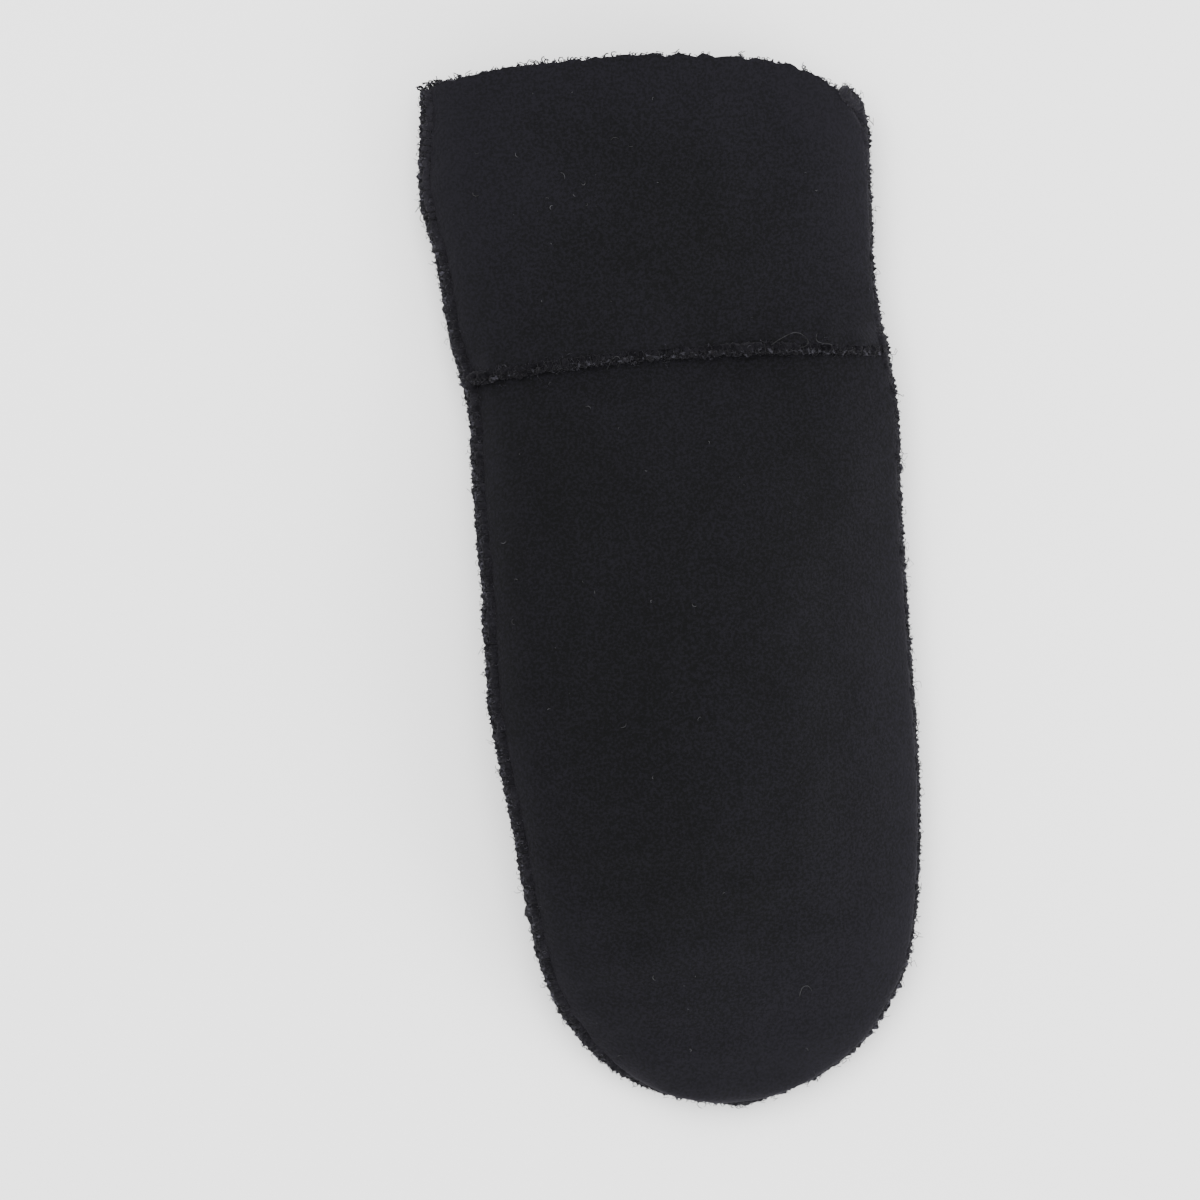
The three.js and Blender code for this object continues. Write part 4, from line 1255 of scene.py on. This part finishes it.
def panel(name, point, s, y, below, keep=None):
    """A suede panel on a grid of shares and places: its outer face on the form, its inner
    face one thickness further in, both with the same dents, puckers and swelling rim."""
    outer, inner = point(s, y, 0, below), point(s, y, SUEDE, below)
    rise = panel_rise(outer, below, bpy.context.scene.mitten_sizes)
    swell = overhang(outer, below) if point is body else 0
    for face in (outer, inner):
        face[..., 2] += rise
        face += swell
    points, quads = slab(outer, inner, keep)
    return add_piece(f"{name}_suede", points, [quads], suede_material(), (name,))


def turns_to_shares(*stretches):
    """Shares across a section at steps of a circle's turn, so that they lie closer together
    at the edges. Each stretch is (from turn, to turn, columns), with turns as columns of rows."""
    parts = [start + (end - start) * np.linspace(0, 1, count + 1)[min(k, 1):]
             for k, (start, end, count) in enumerate(stretches)]
    return -np.cos(np.concatenate(parts, axis=-1))


def rows_between(start, end, steps):
    """Places from one line to another."""
    return start + (end - start) * steps


def mouth_line(s, below):
    """Place of the mouth's cut edge at each share, found by a few rounds of correction."""
    y = np.full_like(s, MOUTH_GUESS * CUFF_LENGTH)
    for _ in range(MOUTH_ROUNDS):
        y = mouth_at(body(s, y, 0, below)[..., 0])
    return y


def cuff_panel(name, bow, below):
    """The cuff's suede, from its seam to the mouth's ragged edge."""
    s = turns_to_shares((0, math.pi, ACROSS_COLUMNS))[None]
    start = cuff_seam_at(body(s, 0 * s, 0, below)[..., 0], bow) + GAP / 2
    mouth = mouth_line(s, below)
    rag = MOUTH_RAG * ripples(HALF_WIDTH * s[..., None], RAG_WAVES, SEEDS["rag"] + below, step=2)
    rag *= smooth_step((1 - np.abs(s)) / RAG_FADE)
    y = rows_between(start, mouth + rag, np.linspace(0, 1, CUFF_ROWS + 1)[:, None])
    return panel(name, body, s, y, below)


class MITTEN_OT_back(bpy.types.Operator):
    """Build the suede over the back of the hand and the cuff over it"""

    bl_idname = "mitten.back"
    bl_label = "Back and cuff"

    def execute(self, context):
        s = turns_to_shares((0, math.pi, ACROSS_COLUMNS))[None]
        start = cuff_seam_at(body(s, 0 * s)[..., 0], BACK_SEAM_BOW) - GAP / 2
        steps = np.sin(np.linspace(0, math.pi / 2, HAND_ROWS + 1))[:, None]
        y = rows_between(start, -TIP_SHARE * HAND_LENGTH, steps)
        panel("back_panel", body, s, y, False)
        cuff_panel("cuff_back", BACK_SEAM_BOW, False)
        return {"FINISHED"}


class MITTEN_OT_palm(bpy.types.Operator):
    """Build the suede under the palm, cut out for the thumb, and the cuff under the wrist"""

    bl_idname = "mitten.palm"
    bl_label = "Palm and cuff"

    def execute(self, context):
        left = ACROSS_COLUMNS // 3
        to_crotch = np.linspace(0, 1, PALM_ROWS_TO_CROTCH + 1)
        to_tip = np.sin(np.linspace(0, math.pi / 2, HAND_ROWS - PALM_ROWS_TO_CROTCH + 1))[1:]
        above = np.concatenate([to_crotch, np.ones_like(to_tip)])[:, None]
        past = np.concatenate([np.zeros_like(to_crotch), to_tip])[:, None]
        border = -CROTCH_ALONG * above[:, 0]
        for _ in range(HEEL_ROUNDS):
            on_heel = np.clip(border, HEEL_END, 0)
            turn = np.arccos(-np.clip(body_share(heel_at(on_heel), on_heel), -1, 1))[:, None]
            s = turns_to_shares((0 * turn, turn, left), (turn, 0 * turn + math.pi, ACROSS_COLUMNS - left))
            x = body(s, border[:, None], 0, True)[..., 0]
            start, crotch = cuff_seam_at(x, PALM_SEAM_BOW) - GAP / 2, crotch_at(x)
            y = rows_between(start, crotch, above) + (-TIP_SHARE * HAND_LENGTH - crotch) * past
            border = y[:, left]
        keep = np.ones((HAND_ROWS, ACROSS_COLUMNS), bool)
        keep[:PALM_ROWS_TO_CROTCH, :left] = False
        panel("palm_panel", body, s, y, True, keep)
        cuff_panel("cuff_palm", PALM_SEAM_BOW, True)
        return {"FINISHED"}


class MITTEN_OT_thumb(bpy.types.Operator):
    """Build the thumb's outer piece, and its inner piece with the gusset"""

    bl_idname = "mitten.thumb"
    bl_label = "Thumb"

    def execute(self, context):
        sizes = context.scene.mitten_sizes
        tip = -TIP_SHARE * THUMB_LENGTH
        steps = np.sin(np.linspace(0, math.pi / 2, THUMB_ROWS + 1))
        border = tip * steps
        heel = np.clip(border, HEEL_END, 0)
        near, far = thumb_near(heel), thumb_far(heel)
        share = np.clip((2 * heel_at(heel) - near - far) / (far - near), -1, 1)
        share += (1 - share) * smooth_step((HEEL_END - border) / CROTCH_BLEND)
        s = turns_to_shares((np.zeros((len(border), 1)), np.arccos(-share)[:, None], THUMB_COLUMNS))
        start = cuff_seam_at(thumb(s[:1], 0 * s[:1], 0, True)[..., 0], PALM_SEAM_BOW) - GAP / 2
        y = rows_between(start, tip, steps[:, None])
        panel("thumb_outer", thumb_root, s, y, True)

        columns = np.linspace(0, 1, GUSSET_COLUMNS + 1)[None]
        rows = np.linspace(0, 1, GUSSET_ROWS + 1)[:, None]
        top = -THUMB_SEAM_START * THUMB_LENGTH
        y = rows_between(top, -CROTCH_ALONG, rows) + 0 * columns
        for _ in range(GUSSET_ROUNDS):
            x = rows_between(index_edge(y), thumb_near(y) + GUSSET_LAP, columns)
            y = rows_between(top, crotch_at(x), rows)
        s = np.clip(body_share(x, y), -1, 1)
        gusset = slab(body(s, y, 0, True), body(s, y, SUEDE, True))
        s = turns_to_shares((0, math.pi, THUMB_COLUMNS))[None]
        start = crotch_at(thumb(s, 0 * s - CROTCH_ALONG)[..., 0])
        y = rows_between(start, tip, np.sin(np.linspace(0, math.pi / 2, THUMB_ROWS // 2 + 1))[:, None])
        outer, inner = thumb(s, y), thumb(s, y, SUEDE)
        dents = ripple(outer[..., :2], THUMB_DENT_LENGTH, SEEDS["thumb"])
        dents = np.abs(dents * (1 - s**2)) * sizes.dent_depth / MM
        outer[..., 2] -= dents
        inner[..., 2] -= dents
        points, quads = merged(gusset, slab(outer, inner))
        add_piece("thumb_inner_suede", points, [quads], suede_material(), ("thumb_inner",))
        return {"FINISHED"}


def loop_around(point, y, inset, columns):
    """Closed loops of the body or the thumb at the given places: over the top, then back
    underneath."""
    over = turns_to_shares((0, math.pi, columns))[None]
    under = over[:, -2:0:-1]
    return np.concatenate([point(over, y, inset, False), point(under, y, inset, True)], axis=1)


def sack(outer, inner):
    """Closed skin of a sack: its outer and inner grids of loops, joined at the mouth, each
    ending in a fan at the tip."""
    return closed_roll(np.concatenate([outer[::-1], inner]))


class MITTEN_OT_lining(bpy.types.Operator):
    """Build the wool side: a sack for the hand and one for the thumb, and curls at the mouth"""

    bl_idname = "mitten.lining"
    bl_label = "Wool lining"

    def execute(self, context):
        sizes = context.scene.mitten_sizes
        columns = LINING_COLUMNS
        loop = loop_around(body, np.full((1, 1), MOUTH_GUESS * CUFF_LENGTH), SUEDE + GAP, columns)
        mouth = mouth_at(loop[..., 0]) - LINING_SETBACK
        steps = (np.linspace(0, 1, LINING_ROWS + 1)**LINING_ROW_POWER)[:, None]
        y = rows_between(mouth, -TIP_SHARE * HAND_LENGTH, steps)
        over = turns_to_shares((0, math.pi, columns))
        s = np.concatenate([over, over[-2:0:-1]])[None]
        upper = (np.arange(2 * columns) <= columns)[None, :, None]
        def skin(inset):
            return np.where(upper, body(s, y, inset, False), body(s, y, inset, True))
        outer, inner = skin(SUEDE + GAP), skin(SUEDE + GAP + WOOL)
        lumps = ripple(inner, PILE_LENGTH, SEEDS["pile"])
        lumps += PILE_CURLS * np.abs(ripple(inner, PILE_CURL_LENGTH, SEEDS["pile"] + 1)) - PILE_SINK
        inner = inner - unit(outer - inner) * (PILE_LUMP * lumps)[..., None]
        rise = panel_rise(outer, False, sizes) * upper[..., 0]
        outer[..., 2] += rise
        inner[..., 2] += rise
        hand_points, (hand_quads, hand_ends) = sack(outer, inner)

        turn = np.linspace(THUMB_SACK_START, math.pi / 2, THUMB_ROWS // 2)
        y = -np.sin(turn)[:, None] * TIP_SHARE * THUMB_LENGTH
        outer = loop_around(thumb, y, SUEDE + GAP, THUMB_COLUMNS // 2)
        inner = loop_around(thumb, y, SUEDE + GAP + THUMB_WOOL, THUMB_COLUMNS // 2)
        thumb_points, (thumb_quads, thumb_ends) = sack(outer, inner)
        points, quads = merged((hand_points, hand_quads), (thumb_points, thumb_quads))
        ends = np.concatenate([hand_ends, thumb_ends + len(hand_points)])
        add_piece("lining_wool", points, [quads, ends], wool_material(), ("wool_lining",))
        self.mouth_curls(sizes, s, mouth, upper)
        return {"FINISHED"}

    def mouth_curls(self, sizes, s, mouth, upper):
        """Curls rooted at random on the wool's cut edge and on its inner face near the mouth,
        and a few stray ones at the mouth's corner on the index side."""
        rng = np.random.default_rng(SEEDS["curls"])
        count = MOUTH_CURLS
        pick = rng.integers(0, s.shape[1], count)
        above = upper[0, pick]
        depth = MOUTH_CURL_DEPTH * rng.uniform(0, 1, count)**MOUTH_CURL_POWER
        on_edge = depth < WOOL
        inset = (SUEDE + GAP + WOOL) * np.where(on_edge, rng.uniform(MOUTH_CURL_INSET, 1, count), 1)
        share = s[0, pick] + rng.uniform(-MOUTH_CURL_JITTER, MOUTH_CURL_JITTER, count)
        share = np.clip(share, -1, 1)
        y = mouth[0, pick] + np.where(on_edge, LINING_SETBACK * rng.uniform(0, 1, count), WOOL - depth)
        roots, inner = (np.where(above, body(share, y, deep, False), body(share, y, deep, True))
                        for deep in (inset, inset + 1))
        aim = inner - roots + (0, MOUTH_CURL_OUT, 0) + MOUTH_CURL_SCATTER * rng.normal(size=(count, 3))
        lengths = np.where(on_edge, 1, MOUTH_CURL_SHARE) * sizes.curl_length / MM
        lengths *= np.exp(rng.normal(0, CURL_SPREAD, count))
        radius = sizes.fibre_radius / MM
        near_edge = curls(roots, aim, lengths, MOUTH_CURL_THICKNESS * radius, rng)

        first, last = from_photo(STRAY_PIXELS)
        x, y = (first + (last - first) * rng.uniform(0, 1, (STRAY_COUNT, 1))**2).T
        roots = np.column_stack([x, mouth_at(x) - STRAY_ROOT, seam_height(x, y)])
        aim = STRAY_AIM + STRAY_SCATTER * rng.normal(size=(STRAY_COUNT, 3))
        lengths = STRAY_LENGTH * rng.uniform(*STRAY_LENGTHS, STRAY_COUNT)
        strays = curls(roots, aim, lengths, STRAY_THICKNESS * radius, rng, STRAY_STEPS)
        points, faces = merged(near_edge, strays)
        add_piece("mouth_curls", above_floor(points), [faces], wool_material())


class MITTEN_OT_side_seam(bpy.types.Operator):
    """Build the raw-edged seam down both sides and round the fingertips"""

    bl_idname = "mitten.side_seam"
    bl_label = "Side seam"

    def execute(self, context):
        points, arc = even_path(side_seam_path(), SEAM_RING_STEP)
        x, y = points[:, 0], points[:, 1]
        tilt = SIDE_SEAM_TILT * smooth_step(-x / TILT_ACROSS) * smooth_step((y + HAND_LENGTH) / TILT_ALONG)
        edge, side = tilted(*level_frame(points), tilt[:, None])
        caught = sum(np.exp(-((y - along) / CAUGHT_ALONG)**2 - ((x - across) / CAUGHT_ACROSS)**2)
                     for across, along in CAUGHT_ENDS)
        points = points + edge * CAUGHT_REACH * caught[:, None]
        add_seam("side_seam", points, edge, side, arc,
                 SEAM_PROUD * (1 + SEAM_INNER_SHARE) / 2, SEAM_HALF_HEIGHT)
        return {"FINISHED"}


class MITTEN_OT_cross_seams(bpy.types.Operator):
    """Build the seams of the cuff, the heel, the crotch and the thumb"""

    bl_idname = "mitten.cross_seams"
    bl_label = "Cross seams"

    def execute(self, context):
        stands = (
            ("cuff_seam_back", cuff_seam_path(BACK_SEAM_BOW, False), 1, CUFF_SEAM_TILT),
            ("cuff_seam_palm", cuff_seam_path(PALM_SEAM_BOW, True), -1, 0),
            ("heel_seam", heel_seam_path(), -1, 0),
            ("crotch_seam", crotch_seam_path(), -1, 0),
        )
        for name, path, sign, tilt in stands:
            points, arc = even_path(path, SEAM_RING_STEP)
            edge, side = tilted(*ridge_frame(points, sign), tilt)
            points = points + edge * (CROSS_SEAM_HALF_HEIGHT - CROSS_SEAM_SINK)
            add_seam(name, points, edge, side, arc, CROSS_SEAM_HALF_HEIGHT, CROSS_SEAM_HALF_WIDTH,
                     CROSS_SEAM_PAINTED_SHADE)
        points, arc = even_path(thumb_seam_path(), SEAM_RING_STEP)
        edge, side = level_frame(points)
        add_seam("thumb_seam", points, edge, side, arc, CROSS_SEAM_HALF_WIDTH, CROSS_SEAM_HALF_HEIGHT,
                 CROSS_SEAM_PAINTED_SHADE)
        return {"FINISHED"}


def from_photo(pixels):
    """Pixels of the photograph to millimetres from the axis and the cuff seam."""
    across, up = ((np.asarray(pixels, float) - PHOTO_SEAM_PIXEL) * (PHOTO_PIXEL_SIZE, -PHOTO_PIXEL_SIZE)).T
    x = across * math.cos(PHOTO_TURN) + up * math.sin(PHOTO_TURN) + PHOTO_AXIS_OFFSET
    y = up * math.cos(PHOTO_TURN) - across * math.sin(PHOTO_TURN)
    return np.stack([x, y], -1)


def laid(line, sizes, clearance):
    """Points of a line seen from above, at a clearance over the mitten's upper side."""
    height = back_height(line[..., 0], line[..., 1], sizes) + clearance
    return np.concatenate([line, height[..., None]], -1)


class MITTEN_OT_loose_fibres(bpy.types.Operator):
    """Lay the loose threads, curls of lint and specks of dust on the suede"""

    bl_idname = "mitten.loose_fibres"
    bl_label = "Loose fibres"

    def execute(self, context):
        sizes = context.scene.mitten_sizes
        rng = np.random.default_rng(SEEDS["lint"])
        self.threads(sizes)
        placed = from_photo(LINT_PIXELS)
        spread = from_photo(rng.uniform(*LINT_FIELD, (LINT_COUNT, 2)))
        x, y = spread.T
        inside = (np.abs(body_share(x, y)) < LINT_WITHIN) & (y < mouth_at(x) - LINT_TO_MOUTH)
        centres = np.concatenate([placed, spread[inside]])
        count = len(centres)
        size = np.where(np.arange(count) < len(placed), LINT_PLACED_SIZE, LINT_SPREAD_SIZE)[:, None]
        size = size * np.exp(rng.normal(0, LINT_SIZE_SPREAD, count))[:, None]
        t = np.linspace(0, 1, LINT_STEPS)
        start, bend = rng.uniform(0, 2 * math.pi, (2, count, 1))
        angle = start + rng.uniform(*LINT_SWEEP, (count, 1)) * t
        across = np.cos(angle) + LINT_BEND * t * np.cos(bend)
        along = np.sin(angle) + LINT_BEND * t * np.sin(bend)
        line = centres[:, None] + np.stack([size / 2 * across, size / 2 * along], -1)
        paths = laid(line, sizes, LINT_CLEARANCE + LINT_ARCH * size * np.sin(math.pi * t))
        radii = LINT_RADIUS * rng.uniform(*LINT_RADII, (count, 1)) * (1 - LINT_TAPER * np.abs(2 * t - 1))
        points, faces = tubes(paths, radii)
        add_piece("lint", points, [faces], lint_material())
        return {"FINISHED"}

    def threads(self, sizes):
        """Loose ends of thread, each on its own curve through a few points of the
        photograph, standing a little off the suede in its middle and over the cuff seam."""
        meshes = []
        for pixels in THREAD_PIXELS:
            line = smoothed(even_path(from_photo(pixels), THREAD_STEP)[0], PATH_SMOOTHING)
            off = (line[:, 1] - cuff_seam_at(line[:, 0], BACK_SEAM_BOW)) / THREAD_SEAM_REACH
            arch = THREAD_ARCH * np.sin(np.linspace(0, math.pi, len(line)))
            path = laid(line, sizes, LINT_RADIUS + arch + THREAD_OVER_SEAM * np.exp(-off**2))
            meshes.append(tubes(path[None], np.full((1, len(path)), LINT_RADIUS)))
        points, faces = merged(*meshes)
        add_piece("loose_threads", points, [faces], lint_material(THREAD_SHADE))


class MITTEN_OT_stage(bpy.types.Operator):
    """Set the pale floor, the soft lights and the camera at the photograph's angle"""

    bl_idname = "mitten.stage"
    bl_label = "Floor, lights and camera"

    def execute(self, context):
        scene = context.scene
        settings = scene.mitten_stage
        mesh = bpy.data.meshes.new("floor")
        half = FLOOR_SIZE / 2
        corners = [(-half, -half, 0), (half, -half, 0), (half, half, 0), (-half, half, 0)]
        mesh.from_pydata(corners, [], [(0, 1, 2, 3)])
        mesh.materials.append(floor_material())
        floor = bpy.data.objects.new("floor", mesh)
        scene.collection.objects.link(floor)

        world = bpy.data.worlds.new("sky")
        world.use_nodes = True
        background = world.node_tree.nodes["Background"]
        background.inputs["Color"].default_value = (1, 1, 1, 1)
        background.inputs["Strength"].default_value = settings.sky
        scene.world = world
        lamps = (
            ("key", settings.key_power, KEY_PLACE, KEY_SIZE),
            ("rim", settings.rim_power, RIM_PLACE, RIM_SIZE),
        )
        for name, power, place, size in lamps:
            light = bpy.data.lights.new(name, "AREA")
            light.energy = power
            light.size = size
            lamp = bpy.data.objects.new(name, light)
            lamp.location = place
            lamp.rotation_euler = (-Vector(place)).to_track_quat("-Z", "Y").to_euler()
            scene.collection.objects.link(lamp)

        camera = bpy.data.cameras.new("camera")
        camera.lens = CAMERA_LENS
        holder = bpy.data.objects.new("camera", camera)
        middle = to_frame([*from_photo([PHOTO_MIDDLE_PIXEL])[0], 0])
        away = PHOTO_PIXELS * PHOTO_PIXEL_SIZE * MM * CAMERA_LENS / camera.sensor_width
        holder.location = (middle[0], middle[1], CAMERA_LEVEL * MM + away)
        holder.rotation_euler = (0, 0, -PHOTO_TURN)
        scene.collection.objects.link(holder)
        scene.camera = holder
        return {"FINISHED"}


class MITTEN_PT_sidebar(bpy.types.Panel):
    """The mitten's sizes, colours and pieces"""

    bl_idname = "MITTEN_PT_sidebar"
    bl_label = "Shearling mitten"
    bl_space_type = "VIEW_3D"
    bl_region_type = "UI"
    bl_category = "Mitten"

    def draw(self, context):
        layout = self.layout
        scene = context.scene
        for title, group in (("Sizes", scene.mitten_sizes), ("Colours", scene.mitten_colours),
                             ("Floor and light", scene.mitten_stage)):
            box = layout.box()
            box.label(text=title)
            for name in group.__annotations__:
                box.prop(group, name)
        column = layout.column(align=True)
        for operator in OPERATORS:
            column.operator(operator.bl_idname)


OPERATORS = (
    MITTEN_OT_back, MITTEN_OT_palm, MITTEN_OT_thumb, MITTEN_OT_lining,
    MITTEN_OT_side_seam, MITTEN_OT_cross_seams, MITTEN_OT_loose_fibres, MITTEN_OT_stage,
)
GROUPS = (("mitten_sizes", MittenSizes), ("mitten_colours", MittenColours), ("mitten_stage", StageSettings))


def register():
    for name, group in GROUPS:
        bpy.utils.register_class(group)
        setattr(bpy.types.Scene, name, bpy.props.PointerProperty(type=group))
    for made in (*OPERATORS, MITTEN_PT_sidebar):
        bpy.utils.register_class(made)


def unregister():
    for made in (MITTEN_PT_sidebar, *reversed(OPERATORS)):
        bpy.utils.unregister_class(made)
    for name, group in reversed(GROUPS):
        delattr(bpy.types.Scene, name)
        bpy.utils.unregister_class(group)


def main():
    register()
    bpy.ops.mitten.back()
    bpy.ops.mitten.palm()
    bpy.ops.mitten.thumb()
    bpy.ops.mitten.lining()
    bpy.ops.mitten.side_seam()
    bpy.ops.mitten.cross_seams()
    bpy.ops.mitten.loose_fibres()
    bpy.ops.mitten.stage()


if __name__ == "__main__":
    main()
